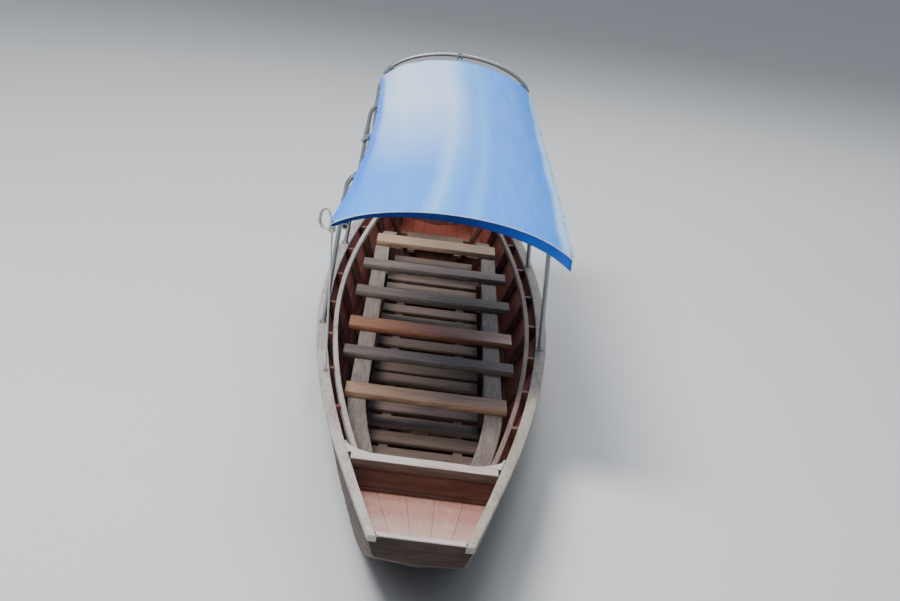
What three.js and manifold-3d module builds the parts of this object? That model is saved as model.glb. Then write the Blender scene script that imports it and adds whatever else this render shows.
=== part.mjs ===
// A small Thai longtail boat: a planked wooden hull with a tarpaulin canopy and a pivoting longtail engine.
// Millimetres. +X points to the bow, +Y to port, +Z up.
// The origin is amidships, on the centre plane, at the waterline.
import * as THREE from "three";
import { mergeVertices } from "three/addons/utils/BufferGeometryUtils.js";
import Module from "manifold-3d";

const wasm = await Module();
wasm.setup();
const { Manifold } = wasm;
const deg = THREE.MathUtils.degToRad;
const { lerp, mapLinear } = THREE.MathUtils;
const V = (x, y, z) => new THREE.Vector3(x, y, z);

// Driving sizes of the hull
const LENGTH = 8200; // bow tip to stern tip
const PLANK = 20; // thickness of the planking
const SEAM = 0.3; // gap kept between pieces that touch
const TRIM_GAP = 0.4; // gap between the planking and the pieces trimmed to it
const WELD = 2; // how far joined bars run into each other
const SIDE_BULGE = 9; // how far the side bows out at its middle seam
const SIDE_SEAM = 0.5; // where the two strakes of a side meet, as a share of the side
const CAP = { over: 8, thick: 22 }; // gunwale cap: overhang and thickness
const HEAD_LENGTH = 75; // solid wood at each tip
const SECTION_STEP = 330;

// The hull's lines. aft is the distance from the bow tip. sheer and chine are half breadth and height on the
// outside of the planking, keel is the height of the bottom on the centre plane, and capReach is how far the
// gunwale cap reaches inboard from the sheer.
const LINES = [
  // aft, sheerY, sheerZ, chineY, chineZ, keelZ, capReach
  [0, 187, 454, 162, 396, 384, 27],
  [400, 243, 424, 192, 250, 230, 31],
  [1000, 327, 387, 236, 92, 64, 37],
  [1700, 421, 357, 288, -20, -58, 43],
  [2600, 516, 333, 338, -76, -126, 46],
  [3600, 580, 320, 374, -96, -156, 46],
  [4500, 592, 318, 382, -100, -162, 46],
  [5400, 560, 316, 362, -92, -152, 46],
  [6300, 492, 314, 320, -62, -120, 46],
  [7100, 406, 314, 270, 2, -48, 46],
  [7700, 332, 316, 228, 100, 64, 42],
  [8200, 268, 320, 200, 236, 222, 34],
];
const OUTSIDE = 700; // half width of a board before it is trimmed to the hull
const UNDER = -300; // a height below the whole hull

// Places along the hull, as distances aft of the bow tip
const BOW_BEAM = { from: 1085, to: 1190, thick: 36 };
const STERN_BEAM = { from: 7490, to: 7610, thick: 66 };
const BULKHEAD = { thick: 20, inset: 14 };
const FOREDECK = { low: 270, high: 444, thick: 18 };
const AFTDECK = { low: 232, high: 312, thick: 18 };
const DECK_STEP = 240;
const LODGING_KNEE = [
  // distance behind the beam, reach inboard
  [-4, 118],
  [60, 44],
  [170, 8],
];
const FRAME_STATIONS = [1350, 2020, 2690, 3360, 4030, 4700, 5370, 6040, 6710, 7200];
const KNEE = { sided: 36, atFoot: 34, atSeam: 44, atTop: 56 };
const INWALE = { wide: 24, deep: 34, drop: 6, overlap: 3 };
const KEELSON = { half: 45, thick: 26 };

// Floor and seats
const FLOOR = { board: 18, boardLong: 165, gap: 90, halfWide: 270, sideGap: 6 };
const BATTEN = { thick: 16, half: 22, y: 175, endGap: 20, sideGap: 40, step: 300, overlap: 1 };
const FLOOR_LEVELS = [
  // aft end of the level, height of the boards
  [2200, 112],
  [6560, 60],
  [LENGTH, 92],
];
const FLOOR_PANELS = [
  // name, from, to
  ["floor_panel_bow", 1215, 2190],
  ["floor_panel_fore", 2210, 3700],
  ["floor_panel_middle", 3710, 5200],
  ["floor_panel_aft", 5210, 6550],
  ["floor_panel_stern", 6570, 7170],
];
const SEAT_RAIL = { from: 1122, to: 6480, wide: 86, thick: 26, top: 204, halfMax: 368, step: 380 };
const RAIL_ROOM = { toKnees: 4, overTimbers: 10 };
const RAIL_LEG = { half: 16, inset: 6 };
const THWART = { thick: 30, halfMax: 430, toKnees: 6 };
const THWARTS = [
  // name, aft, width, finish
  ["thwart_front", 2725, 190, "seatTan"],
  ["thwart_second", 3420, 160, "seatGrey"],
  ["thwart_third", 4000, 210, "seatRed"],
  ["thwart_fourth", 4740, 180, "seatGrey"],
  ["thwart_fifth", 5440, 180, "seatGrey"],
  ["thwart_driver", 6150, 230, "seatTan"],
];

// Canopy: elliptic hoops of pipe with a tarpaulin over them.
// Its half widths and heights run straight from front to rear.
const CANOPY = {
  front: 2480,
  rear: 6720,
  crownFront: 1176,
  crownRear: 1362,
  eaveFront: 1022,
  eaveRear: 1130,
  halfFront: 530,
  halfRear: 465,
};
const PIPE = 12; // pipe radius of the hoops and rails
const PIPE_SEGMENTS = 4; // flat sides of half a pipe
const HOOPS = [
  // name, aft, legs
  ["hoop_front", 2480, false],
  ["hoop_second", 3440, true],
  ["hoop_third", 4400, false],
  ["hoop_fourth", 5360, true],
  ["hoop_fifth", 6260, true],
  ["hoop_rear", 6600, false],
];
const SHORT_HOOP = 13; // turn, in degrees, where a hoop without legs starts
const HOOP_BENDS = 14;
const HOOP_STEPS = 24;
const FOOT = { half: 22, side: 20, inboard: 22, thick: 5 };
const SLEEVE = { from: 0.84, to: 0.92, thick: 3.5 };
const CANOPY_RAILS = [
  // name, turn around the arch in degrees, gap to the hoops
  ["ridge_pole", 90, 0.4],
  ["eave_rail_port", 24, 1.3],
  ["eave_rail_starboard", 156, 1.3],
];
const RAIL_OVERHANG = 60;
const TARP = { front: 2395, rear: 6310, thick: 5, lift: 2.25, across: 20, along: 12 };
const EDGES = [
  // Turn of the sheet's edge in degrees at its front, middle and rear, and how its front corner is pulled:
  // outwards, how evenly the pull fades astern, and the corner's droop
  { side: 1, front: 20, middle: 18, rear: 16, pull: 62, fade: 1, droop: 30 },
  { side: -1, front: 20, middle: 31, rear: 16, pull: 28, fade: 5, droop: 6 },
];
const DROOP_FADE = 12;

// Swivel: a socket on the stern beam and a yoke in it
const PIVOT_AFT = 7550;
const PIVOT_Z = 520;
const SOCKET = { halfLong: 55, halfWide: 95, plate: 8, tube: 26, bore: 14.6 };
const SOCKET_WEB = { half: 4, top: 40, reach: 80 };
const SOCKET_BOLT = { x: 40, y: 75, radius: 8, low: 6, top: 16 };
const YOKE = { pin: 14, eye: 10.5, low: -85, top: -65, barHalf: 28 };
const YOKE_ARM = { inside: 104, outside: 118, half: 24, low: -70 };

// Longtail unit, in its own frame: x forward along the shaft, z up, the origin on the tilt axis.
// Boxes are given as x from and to, y from and to, z from and to.
const SHAFT_SLOPE = deg(20);
const SHAFT_Z = 120;
const CRADLE = {
  rear: -120,
  front: 440,
  railIn: 78,
  railOut: 98,
  low: -24,
  high: 12,
  bar: 26,
  bed: [84, 400, -98, 98, 6, 14],
  waist: [-90, 80, -77.9, 77.9, -40, 40],
  pin: { radius: 10, half: 122 },
  flange: [-112, -102, -62, 62, 0, 182],
};
const COUPLING = [
  // from, to, radius at each
  [-100, -60, 58, 58],
  [-62, 60, 44, 66],
  [58, 92, 84, 84],
];
const BED_TOP = 14 + SEAM;
const CRANK_FROM = 92 + SEAM;
const CRANK_TO = 300;
const CRANK_BOXES = [
  [CRANK_FROM, CRANK_TO, -96, 92, BED_TOP, 190],
  [110, 290, -70, 70, 180, 212],
  [96, 296, -110, 110, BED_TOP, 34],
];
const CRANK_DRUM = 90;
const RECOIL = [
  // from, to, radius at each
  [CRANK_TO + SEAM, 352, 106, 106],
  [350, 392, 104, 78],
  [390, 402, 50, 44],
];
const TANK_TOP = 334;
const TANK_BOXES = [
  [118, 318, -104, 62, 236, 318],
  [132, 292, -90, 48, 212 + SEAM, TANK_TOP],
];
const TANK_CAP = { x: 180, y: -40, radius: 30, top: 352, grip: [174, 186, -66, -14, 350, 358] };
const AIR_FILTER = { x: 236, z: 150, from: -176, to: -114, radius: 46 };
const FILTER_DUCT = [206, 268, -120, -96 - SEAM, 110, 180];

// Cylinder, leaning out to port: y runs along its bore
const CYLINDER = { along: 200, lean: deg(25), foot: 114, padFrom: 60, pad: 50, barrel: 46, barrelTo: 196 };
const FINS = { count: 6, half: 64, tall: 62, pitch: 13, first: 4, thick: 5 };
const CYLINDER_TOP = [
  [-56, 56, 186, 214, -56, 56],
  [-40, 40, 213, 236, -44, 44],
];
const SILENCER = { body: [-70, 62, 150, 226, 74, 140], neck: [-20, 20, 155, 185, 62 + SEAM, 80] };
const OUTLET = { from: 60, to: 96, y: 205, z: 120, radius: 13 };

// Tiller and tail
const TILLER = [
  // x, z
  [445, -6],
  [620, 6],
  [900, 18],
  [1180, 22],
];
const TILLER_RADIUS = 14;
const TILLER_PLATE = [440 + SEAM, 450, -40, 40, -24, 12];
const GRIP = { from: 1181, to: 1316, radius: 19, collar: 23, collarLong: 10 };
const PROP_AT = -2490;
const TAIL = { radius: 24, from: -112 - SEAM, end: PROP_AT + 70, flange: 60, flangeTo: -128 };
const SHAFT_RADIUS = 12;
const BEARING = { radius: 32, long: 120, bore: 62 };
const BRACE = [
  // x, height over the shaft
  [-150, 20],
  [-420, 66],
  [-1150, 66],
  [-1440, 20],
];
const BRACE_RADIUS = 8;
const BRACE_POSTS = [-440, -790, -1130];
const SKEG = [
  // distance ahead of the tail's end, z
  [150, 106],
  [10, 106],
  [24, -36],
  [60, -52],
];
const WEB = [
  [190, 131],
  [10, 131],
  [-10, 261],
  [110, 261],
];
const SPLASH_PLATE = { half: 130, side: 62, low: 258, top: 264 };
const PLATE_HALF = 3;
const HUB = [
  // from, to, radius at each
  [-26, 30, 19, 23],
  [-44, -24, 8, 19],
  [28, 120, SHAFT_RADIUS, SHAFT_RADIUS],
];
const BLADE = [
  // radius, half chord, pitch angle from the disc plane
  [14, 20, 52],
  [45, 36, 38],
  [80, 42, 27],
  [105, 32, 21],
  [118, 14, 18],
];
const BLADE_THICK = 2.5;
const CHOCK = { half: 26, side: 30, underTail: 1 };

const COLOURS = {
  // colour, roughness, metalness
  hullRed: [0x6b2f22, 0.6, 0],
  capPale: [0xb7aca2, 0.65, 0],
  deckPink: [0xa98273, 0.7, 0],
  seatRed: [0x8a4a2c, 0.5, 0],
  seatTan: [0x9a7350, 0.65, 0],
  seatGrey: [0x6c5f55, 0.75, 0],
  floorBrown: [0x5f4a3b, 0.75, 0],
  tarpBlue: [0x6fa4ee, 0.45, 0],
  pipeGrey: [0x4a4d50, 0.45, 0.6],
  steelDark: [0x3a3b3d, 0.5, 0.7],
  engineBlack: [0x1e1f21, 0.5, 0.3],
  engineMetal: [0x9a9b98, 0.4, 0.8],
  engineRed: [0x8e2018, 0.4, 0.1],
  tankWhite: [0xd9d8d0, 0.35, 0],
  rubber: [0x18181a, 0.8, 0],
  brass: [0xa98540, 0.35, 0.9],
};

const boat = new THREE.Group();

// Material of a finish, made once
const finishes = {};
function finish(name) {
  const [color, roughness, metalness] = COLOURS[name];
  finishes[name] ??= new THREE.MeshStandardMaterial({ name, color, roughness, metalness });
  return finishes[name];
}

function add(name, geometry, material, parent = boat) {
  const mesh = new THREE.Mesh(geometry, finish(material));
  mesh.name = name;
  parent.add(mesh);
}

// A closed three.js geometry as a solid, and back
function solid(geometry) {
  const bare = geometry.clone();
  bare.deleteAttribute("normal");
  bare.deleteAttribute("uv");
  const merged = mergeVertices(bare, 1e-3);
  return new Manifold(
    new wasm.Mesh({
      numProp: 3,
      vertProperties: new Float32Array(merged.attributes.position.array),
      triVerts: new Uint32Array(merged.index.array),
    }),
  );
}

function geometryOf(manifold) {
  const mesh = manifold.getMesh();
  const positions = new Float32Array(mesh.numVert * 3);
  for (let i = 0; i < mesh.numVert; i++) {
    positions.set(mesh.vertProperties.subarray(i * mesh.numProp, i * mesh.numProp + 3), i * 3);
  }
  const made = new THREE.BufferGeometry();
  made.setAttribute("position", new THREE.BufferAttribute(positions, 3));
  made.setIndex(new THREE.BufferAttribute(new Uint32Array(mesh.triVerts), 1));
  made.computeVertexNormals();
  return made;
}

const join = (...geometries) => geometryOf(geometries.map(solid).reduce((a, b) => a.add(b)));
const cut = (whole, ...tools) => geometryOf(tools.map(solid).reduce((a, b) => a.subtract(b), solid(whole)));

function box(x0, x1, y0, y1, z0, z1) {
  const made = new THREE.BoxGeometry(x1 - x0, y1 - y0, z1 - z0);
  return made.translate((x0 + x1) / 2, (y0 + y1) / 2, (z0 + z1) / 2);
}

// A box whose y range is mirrored for the starboard side
function sideBox(sign, x0, x1, near, far, z0, z1) {
  const [y0, y1] = [sign * near, sign * far].sort((a, b) => a - b);
  return box(x0, x1, y0, y1, z0, z1);
}

// A cylinder along an axis from one end to the other, centred on the two other coordinates
function rod(axis, from, to, a, b, radius, sides = 16, endRadius = radius) {
  const made = new THREE.CylinderGeometry(endRadius, radius, to - from, sides);
  const middle = (from + to) / 2;
  if (axis === "x") return made.rotateZ(-Math.PI / 2).translate(middle, a, b);
  if (axis === "y") return made.translate(a, middle, b);
  return made.rotateX(Math.PI / 2).translate(a, b, middle);
}

// Turned lengths along x, from rows of from, to and the radius at each
function turned(rows, z, sides) {
  return rows.map(([from, to, start, end]) => rod("x", from, to, 0, z, start, sides, end));
}

// A closed skin through rings of points, with its two ends filled, faces pointing out
function loft(rings) {
  const count = rings[0].length;
  const positions = rings.flat().flatMap((p) => [p.x, p.y, p.z]);
  const index = [];
  for (let i = 0; i + 1 < rings.length; i++) {
    for (let j = 0; j < count; j++) {
      const k = (j + 1) % count;
      const [a, b, c, d] = [i * count + j, i * count + k, (i + 1) * count + k, (i + 1) * count + j];
      // Both pieces at a seam split their twisted faces the same way: from the point nearer the centre plane
      if (Math.abs(rings[i][j].y) < Math.abs(rings[i][k].y)) index.push(a, b, c, a, c, d);
      else index.push(a, b, d, b, c, d);
    }
  }
  index.push(...fan(rings[0], 0), ...fan(rings.at(-1), (rings.length - 1) * count));
  const made = new THREE.BufferGeometry();
  made.setAttribute("position", new THREE.Float32BufferAttribute(positions, 3));
  made.setIndex(facesOutwards(positions, index));
  made.computeVertexNormals();
  return made;
}

// Triangles that fill a flat ring, whose points are numbered from start
function fan(ring, start) {
  const spread = (key) => Math.max(...ring.map((p) => p[key])) - Math.min(...ring.map((p) => p[key]));
  const keys = ["x", "y", "z"].sort((a, b) => spread(b) - spread(a)).slice(0, 2);
  const outline = ring.map((p) => new THREE.Vector2(p[keys[0]], p[keys[1]]));
  const order = outline.map((_, i) => i);
  if (THREE.ShapeUtils.isClockWise(outline)) {
    outline.reverse();
    order.reverse();
  }
  return THREE.ShapeUtils.triangulateShape(outline, []).flatMap((face) => face.map((i) => start + order[i]));
}

// Turns each triangle to agree with its neighbours, then the whole skin outwards
function facesOutwards(positions, index) {
  const faces = [];
  for (let i = 0; i < index.length; i += 3) faces.push(index.slice(i, i + 3));
  const edgesOf = ([a, b, c]) => [[a, b], [b, c], [c, a]];
  const keyOf = ([a, b]) => Math.min(a, b) + "_" + Math.max(a, b);
  const owners = new Map();
  faces.forEach((face, n) => {
    for (const edge of edgesOf(face)) owners.set(keyOf(edge), [...(owners.get(keyOf(edge)) ?? []), n]);
  });
  const seen = new Set([0]);
  const queue = [0];
  while (queue.length) {
    for (const edge of edgesOf(faces[queue.pop()])) {
      for (const n of owners.get(keyOf(edge))) {
        if (seen.has(n)) continue;
        if (edgesOf(faces[n]).some(([a, b]) => a === edge[0] && b === edge[1])) faces[n].reverse();
        seen.add(n);
        queue.push(n);
      }
    }
  }
  const at = (i) => V(...positions.slice(3 * i, 3 * i + 3));
  const volume = faces.reduce((sum, [a, b, c]) => sum + at(a).dot(at(b).cross(at(c))), 0);
  if (volume < 0) faces.forEach((face) => face.reverse());
  return faces.flat();
}

// A round bar along a smooth or broken line
function pipe(curve, radius, steps, segments = PIPE_SEGMENTS) {
  const outline = new THREE.Shape();
  outline.absarc(0, 0, radius, 0, 2 * Math.PI, false);
  return new THREE.ExtrudeGeometry(outline, {
    extrudePath: curve,
    steps,
    curveSegments: segments,
    bevelEnabled: false,
  });
}

// The hull's lines at any distance aft, smooth between the rows of the table
function smoothLines(aft) {
  const row = (n) => LINES[THREE.MathUtils.clamp(n, 0, LINES.length - 1)];
  const i = LINES.findIndex((_, n) => n === LINES.length - 2 || aft <= LINES[n + 1][0]);
  const [a, b] = [row(i), row(i + 1)];
  const span = b[0] - a[0];
  const t = (aft - a[0]) / span;
  const slope = (n, k) => (row(n + 1)[k] - row(n - 1)[k]) / (row(n + 1)[0] - row(n - 1)[0]);
  const [t2, t3] = [t * t, t * t * t];
  const value = (k) => {
    const [m0, m1] = [slope(i, k) * span, slope(i + 1, k) * span];
    return (2 * t3 - 3 * t2 + 1) * a[k] + (t3 - 2 * t2 + t) * m0 + (3 * t2 - 2 * t3) * b[k] + (t3 - t2) * m1;
  };
  const [sheerY, sheerZ, chineY, chineZ, keelZ, capReach] = [1, 2, 3, 4, 5, 6].map(value);
  return { sheerY, sheerZ, chineY, chineZ, keelZ, capReach };
}

const stationX = (aft) => LENGTH / 2 - aft;
const P2 = (y, z) => new THREE.Vector2(y, z);

// Distances from one place to another in even steps
function steps(from, to, step = SECTION_STEP) {
  const count = Math.max(1, Math.round((to - from) / step));
  return Array.from({ length: count + 1 }, (_, i) => lerp(from, to, i / count));
}

// Stations of the planking. All lines run straight from one to the next, so that the pieces inside meet it.
const PLANKED = steps(HEAD_LENGTH + SEAM, LENGTH - HEAD_LENGTH - SEAM);
const STATIONS = [0, ...PLANKED, LENGTH];
const LINES_AT_STATIONS = STATIONS.map(smoothLines);

// The two stations around a place, and how far it lies between them
function between(aft) {
  const i = THREE.MathUtils.clamp(STATIONS.findLastIndex((s) => s <= aft), 0, STATIONS.length - 2);
  return [i, i + 1, (aft - STATIONS[i]) / (STATIONS[i + 1] - STATIONS[i])];
}

function linesAt(aft) {
  const [i, j, t] = between(aft);
  const [a, b] = [LINES_AT_STATIONS[i], LINES_AT_STATIONS[j]];
  return Object.fromEntries(Object.keys(a).map((key) => [key, lerp(a[key], b[key], t)]));
}

// Half section of the planking: outside and inside points at the keel, chine, middle seam and sheer
function smoothSection(l) {
  const fullSide = 300;
  const chine = P2(l.chineY, l.chineZ);
  const sheer = P2(l.sheerY, l.sheerZ);
  const along = sheer.clone().sub(chine).normalize();
  const bulge = SIDE_BULGE * Math.min(1, sheer.distanceTo(chine) / fullSide);
  const middle = chine.clone().lerp(sheer, SIDE_SEAM).add(P2(along.y, -along.x).multiplyScalar(bulge));
  const outer = [P2(0, l.keelZ), chine, middle, sheer];
  const inward = (a, b) => {
    const d = b.clone().sub(a).normalize();
    return P2(-d.y, d.x);
  };
  const mitre = (before, p, after) => {
    const [n, m] = [inward(before, p), inward(p, after)];
    return p.clone().add(n.clone().add(m).multiplyScalar(PLANK / (1 + n.dot(m))));
  };
  const inner = [
    P2(0, l.keelZ + PLANK / inward(outer[0], chine).y),
    mitre(outer[0], chine, middle),
    mitre(chine, middle, sheer),
    P2(l.sheerY + PLANK / inward(middle, sheer).x, l.sheerZ),
  ];
  return { outer, inner };
}

const SECTIONS = LINES_AT_STATIONS.map(smoothSection);

function sectionAt(aft) {
  const [i, j, t] = between(aft);
  const mix = (key) => SECTIONS[i][key].map((p, n) => p.clone().lerp(SECTIONS[j][key][n], t));
  return { outer: mix("outer"), inner: mix("inner") };
}

// The space inside the planking, kept clear of it by a gap, as a solid that other pieces are trimmed to
function cavity() {
  const overSheer = 60;
  const rings = PLANKED.map((aft) => {
    const { inner } = sectionAt(aft);
    const half = [
      [0, inner[0].y + TRIM_GAP],
      [inner[1].x - TRIM_GAP, inner[1].y + TRIM_GAP / 2],
      [inner[2].x - TRIM_GAP, inner[2].y],
      [inner[3].x - TRIM_GAP, inner[3].y],
      [inner[3].x - TRIM_GAP, inner[3].y + overSheer],
    ];
    return ring(aft, mirrored(half));
  });
  return solid(loft(rings));
}
const insideHull = (geometry) => geometryOf(solid(geometry).intersect(cavity()));

// Half breadth inside the planking at a height
function insideAt(aft, z) {
  const { inner } = sectionAt(aft);
  const i = inner.findIndex((_, n) => n === inner.length - 2 || z <= inner[n + 1].y);
  return mapLinear(z, inner[i].y, inner[i + 1].y, inner[i].x, inner[i + 1].x);
}

const capTop = (aft) => linesAt(aft).sheerZ + CAP.thick;
const capInside = (aft) => linesAt(aft).sheerY - linesAt(aft).capReach;
const floorTop = (aft) => FLOOR_LEVELS.find(([to]) => aft <= to)[1];
const timberTop = (aft) => floorTop(aft) - FLOOR.board - BATTEN.thick;

const SIDES = [
  ["port", 1],
  ["starboard", -1],
];

function ring(aft, points) {
  return points.map(([y, z]) => V(stationX(aft), y, z));
}

// The corners of a board's section, from one side to the other, with a flat top
function boardRing(aft, y0, y1, top, thick) {
  return ring(aft, [[y1, top], [y0, top], [y0, top - thick], [y1, top - thick]]);
}

// A half outline that starts on the centre plane, with its mirror image
function mirrored(half) {
  return [...half, ...half.slice(1).reverse().map(([y, z]) => [-y, z])];
}

// Planking: the bottom and two strakes a side
function planking() {
  const bottom = PLANKED.map((aft) => {
    const { outer, inner } = sectionAt(aft);
    const chines = [outer[1], inner[1]].map((p) => [p.x - SEAM, p.y]);
    const mirroredChines = chines.map(([y, z]) => [-y, z]).reverse();
    return ring(aft, [[0, outer[0].y], ...chines, [0, inner[0].y], ...mirroredChines]);
  });
  add("bottom_planking", loft(bottom), "hullRed");
  const strakes = [["lower_strake", 1], ["upper_strake", 2]];
  for (const [side, sign] of SIDES) {
    for (const [name, seam] of strakes) {
      const rings = PLANKED.map((aft) => {
        const { outer, inner } = sectionAt(aft);
        const gap = outer[seam + 1].clone().sub(outer[seam]).normalize().multiplyScalar(SEAM / 2);
        const corners = [
          outer[seam].clone().add(gap),
          outer[seam + 1].clone().sub(gap),
          inner[seam + 1].clone().sub(gap),
          inner[seam].clone().add(gap),
        ];
        return ring(aft, corners.map((p) => [sign * p.x, p.y]));
      });
      add(`${name}_${side}`, loft(rings), "hullRed");
    }
  }
}

// Gunwale caps along both sheers
function gunwales() {
  for (const [side, sign] of SIDES) {
    const rings = STATIONS.map((aft) => {
      const [inboard, outboard] = [sign * capInside(aft), sign * (linesAt(aft).sheerY + CAP.over)];
      return boardRing(aft, inboard, outboard, capTop(aft), CAP.thick - SEAM);
    });
    add(`gunwale_cap_${side}`, loft(rings), "capPale");
  }
}

// The solid heads at the two tips, stepped up between the caps
function heads() {
  const tips = [["bow_head", 0, HEAD_LENGTH], ["stern_head", LENGTH - HEAD_LENGTH, LENGTH]];
  for (const [name, from, to] of tips) {
    const rings = [from, to].map((aft) => {
      const { outer } = sectionAt(aft);
      const step = capInside(aft) - SEAM;
      const half = [...outer.map((p) => [p.x, p.y]), [step, outer[3].y], [step, capTop(aft)]];
      return ring(aft, mirrored(half));
    });
    add(name, loft(rings), "capPale");
  }
}

// A board across the inside of the hull, from the bottom up to a height
function crossBoard(from, to, top) {
  return insideHull(box(stationX(to), stationX(from), -OUTSIDE, OUTSIDE, UNDER, top));
}

// A flat knee in the corner between the bow beam and a gunwale cap
function lodgingKnee(sign) {
  const rings = LODGING_KNEE.map(([behind, reach]) => {
    const aft = BOW_BEAM.to + behind;
    const outside = capInside(aft) - SEAM;
    return boardRing(aft, sign * (outside - reach), sign * outside, capTop(aft), CAP.thick - SEAM);
  });
  return loft(rings);
}

function crossBeam({ from, to, thick }) {
  const rings = [from, to].map((aft) => {
    const half = capInside(aft) - SEAM;
    return boardRing(aft, -half, half, capTop(from), thick);
  });
  return loft(rings);
}

// Cross beams, the bulkheads below them, and the two sunk end decks
function endsOfWell() {
  add("bow_cross_beam", join(crossBeam(BOW_BEAM), lodgingKnee(1), lodgingKnee(-1)), "capPale");
  add("stern_cross_beam", crossBeam(STERN_BEAM), "capPale");
  const bowBoard = BOW_BEAM.from + BULKHEAD.inset;
  const sternBoard = STERN_BEAM.to - BULKHEAD.inset - BULKHEAD.thick;
  const bulkheads = [["bow_bulkhead", BOW_BEAM, bowBoard], ["stern_bulkhead", STERN_BEAM, sternBoard]];
  for (const [name, beam, from] of bulkheads) {
    const top = capTop(beam.from) - beam.thick - SEAM;
    add(name, crossBoard(from, from + BULKHEAD.thick, top), "hullRed");
  }
  const sternDeckFrom = sternBoard + BULKHEAD.thick + SEAM;
  const decks = [
    // name, from, to, height at each, thickness
    ["foredeck", HEAD_LENGTH + 2 * SEAM, bowBoard - SEAM, FOREDECK.high, FOREDECK.low, FOREDECK.thick],
    ["aft_deck", sternDeckFrom, LENGTH - HEAD_LENGTH - 2 * SEAM, AFTDECK.low, AFTDECK.high, AFTDECK.thick],
  ];
  for (const [name, from, to, zFrom, zTo, thick] of decks) {
    const rings = steps(from, to, DECK_STEP).map((aft) =>
      boardRing(aft, -OUTSIDE, OUTSIDE, mapLinear(aft, from, to, zFrom, zTo), thick),
    );
    add(name, insideHull(loft(rings)), "deckPink");
  }
}

// A knee against the planking at a frame
function sideKnee(aft, sign) {
  const depths = [KNEE.atFoot, KNEE.atSeam, KNEE.atTop];
  const rings = [aft - KNEE.sided / 2, aft + KNEE.sided / 2].map((at) => {
    const { inner } = sectionAt(at);
    const heights = [timberTop(aft) + SEAM, inner[2].y, inner[3].y - INWALE.drop];
    const far = heights.map((z, i) => [insideAt(at, z) - depths[i], z]).reverse();
    const near = [[OUTSIDE, heights[0]], [OUTSIDE, heights[2]]];
    return ring(at, [...near, ...far].map(([y, z]) => [sign * y, z]));
  });
  return insideHull(loft(rings));
}

// Knees of a side, joined by the inwale along the sheer
function sideFraming() {
  for (const [side, sign] of SIDES) {
    const rings = steps(BOW_BEAM.to + SEAM, STERN_BEAM.from - SEAM).map((aft) => {
      const top = linesAt(aft).sheerZ - INWALE.drop;
      const outside = insideAt(aft, top) - KNEE.atTop + INWALE.overlap;
      return boardRing(aft, sign * (outside - INWALE.wide), sign * outside, top, INWALE.deep);
    });
    const knees = FRAME_STATIONS.map((aft) => sideKnee(aft, sign));
    add(`side_framing_${side}`, join(loft(rings), ...knees), "hullRed");
  }
}

// Cross timbers on the bottom, joined by a keelson
function floorFraming() {
  const timbers = FRAME_STATIONS.map((aft) =>
    crossBoard(aft - KNEE.sided / 2, aft + KNEE.sided / 2, timberTop(aft)),
  );
  const first = FRAME_STATIONS[0] - KNEE.sided;
  const last = FRAME_STATIONS.at(-1) + KNEE.sided;
  const inner = STATIONS.filter((aft) => aft > first && aft < last);
  const rings = [first, ...inner, last].map((aft) => {
    const bottom = sectionAt(aft).inner[0].y;
    return boardRing(aft, -KEELSON.half, KEELSON.half, bottom + KEELSON.thick, KEELSON.thick + PLANK);
  });
  add("floor_framing", join(insideHull(loft(rings)), ...timbers), "hullRed");
}

// Half breadth to the outer edge of a seat rail: clear of the knees, over the ends of the timbers
function railOutside(aft) {
  const besideKnees = insideAt(aft, SEAT_RAIL.top - SEAT_RAIL.thick) - KNEE.atTop - RAIL_ROOM.toKnees;
  const aboveTimbers = insideAt(aft, timberTop(aft)) + RAIL_ROOM.overTimbers;
  return Math.min(SEAT_RAIL.halfMax, besideKnees, aboveTimbers);
}
const railInside = (aft) => railOutside(aft) - SEAT_RAIL.wide;

// Seat rails: a plank along each side on short legs
function seatRails() {
  const under = SEAT_RAIL.top - SEAT_RAIL.thick;
  for (const [side, sign] of SIDES) {
    const rings = steps(SEAT_RAIL.from, SEAT_RAIL.to, SEAT_RAIL.step).map((aft) =>
      boardRing(aft, sign * railInside(aft), sign * railOutside(aft), SEAT_RAIL.top, SEAT_RAIL.thick),
    );
    const legs = FRAME_STATIONS.filter((aft) => aft < SEAT_RAIL.to).map((aft) => {
      const x = stationX(aft);
      const near = railInside(aft) + RAIL_LEG.inset;
      const ends = [timberTop(aft) + SEAM, under + WELD];
      return sideBox(sign, x - RAIL_LEG.half, x + RAIL_LEG.half, near, near + 2 * RAIL_LEG.half, ...ends);
    });
    add(`seat_rail_${side}`, join(loft(rings), ...legs), "seatGrey");
  }
}

// Seats across the rails
function thwarts() {
  const bottom = SEAT_RAIL.top + SEAM;
  for (const [name, aft, width, colour] of THWARTS) {
    const ends = [aft - width / 2, aft + width / 2];
    const room = ends.map((at) => insideAt(at, bottom) - KNEE.atTop - THWART.toKnees);
    const half = Math.min(THWART.halfMax, ...room);
    add(name, box(stationX(ends[1]), stationX(ends[0]), -half, half, bottom, bottom + THWART.thick), colour);
  }
}

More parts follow.
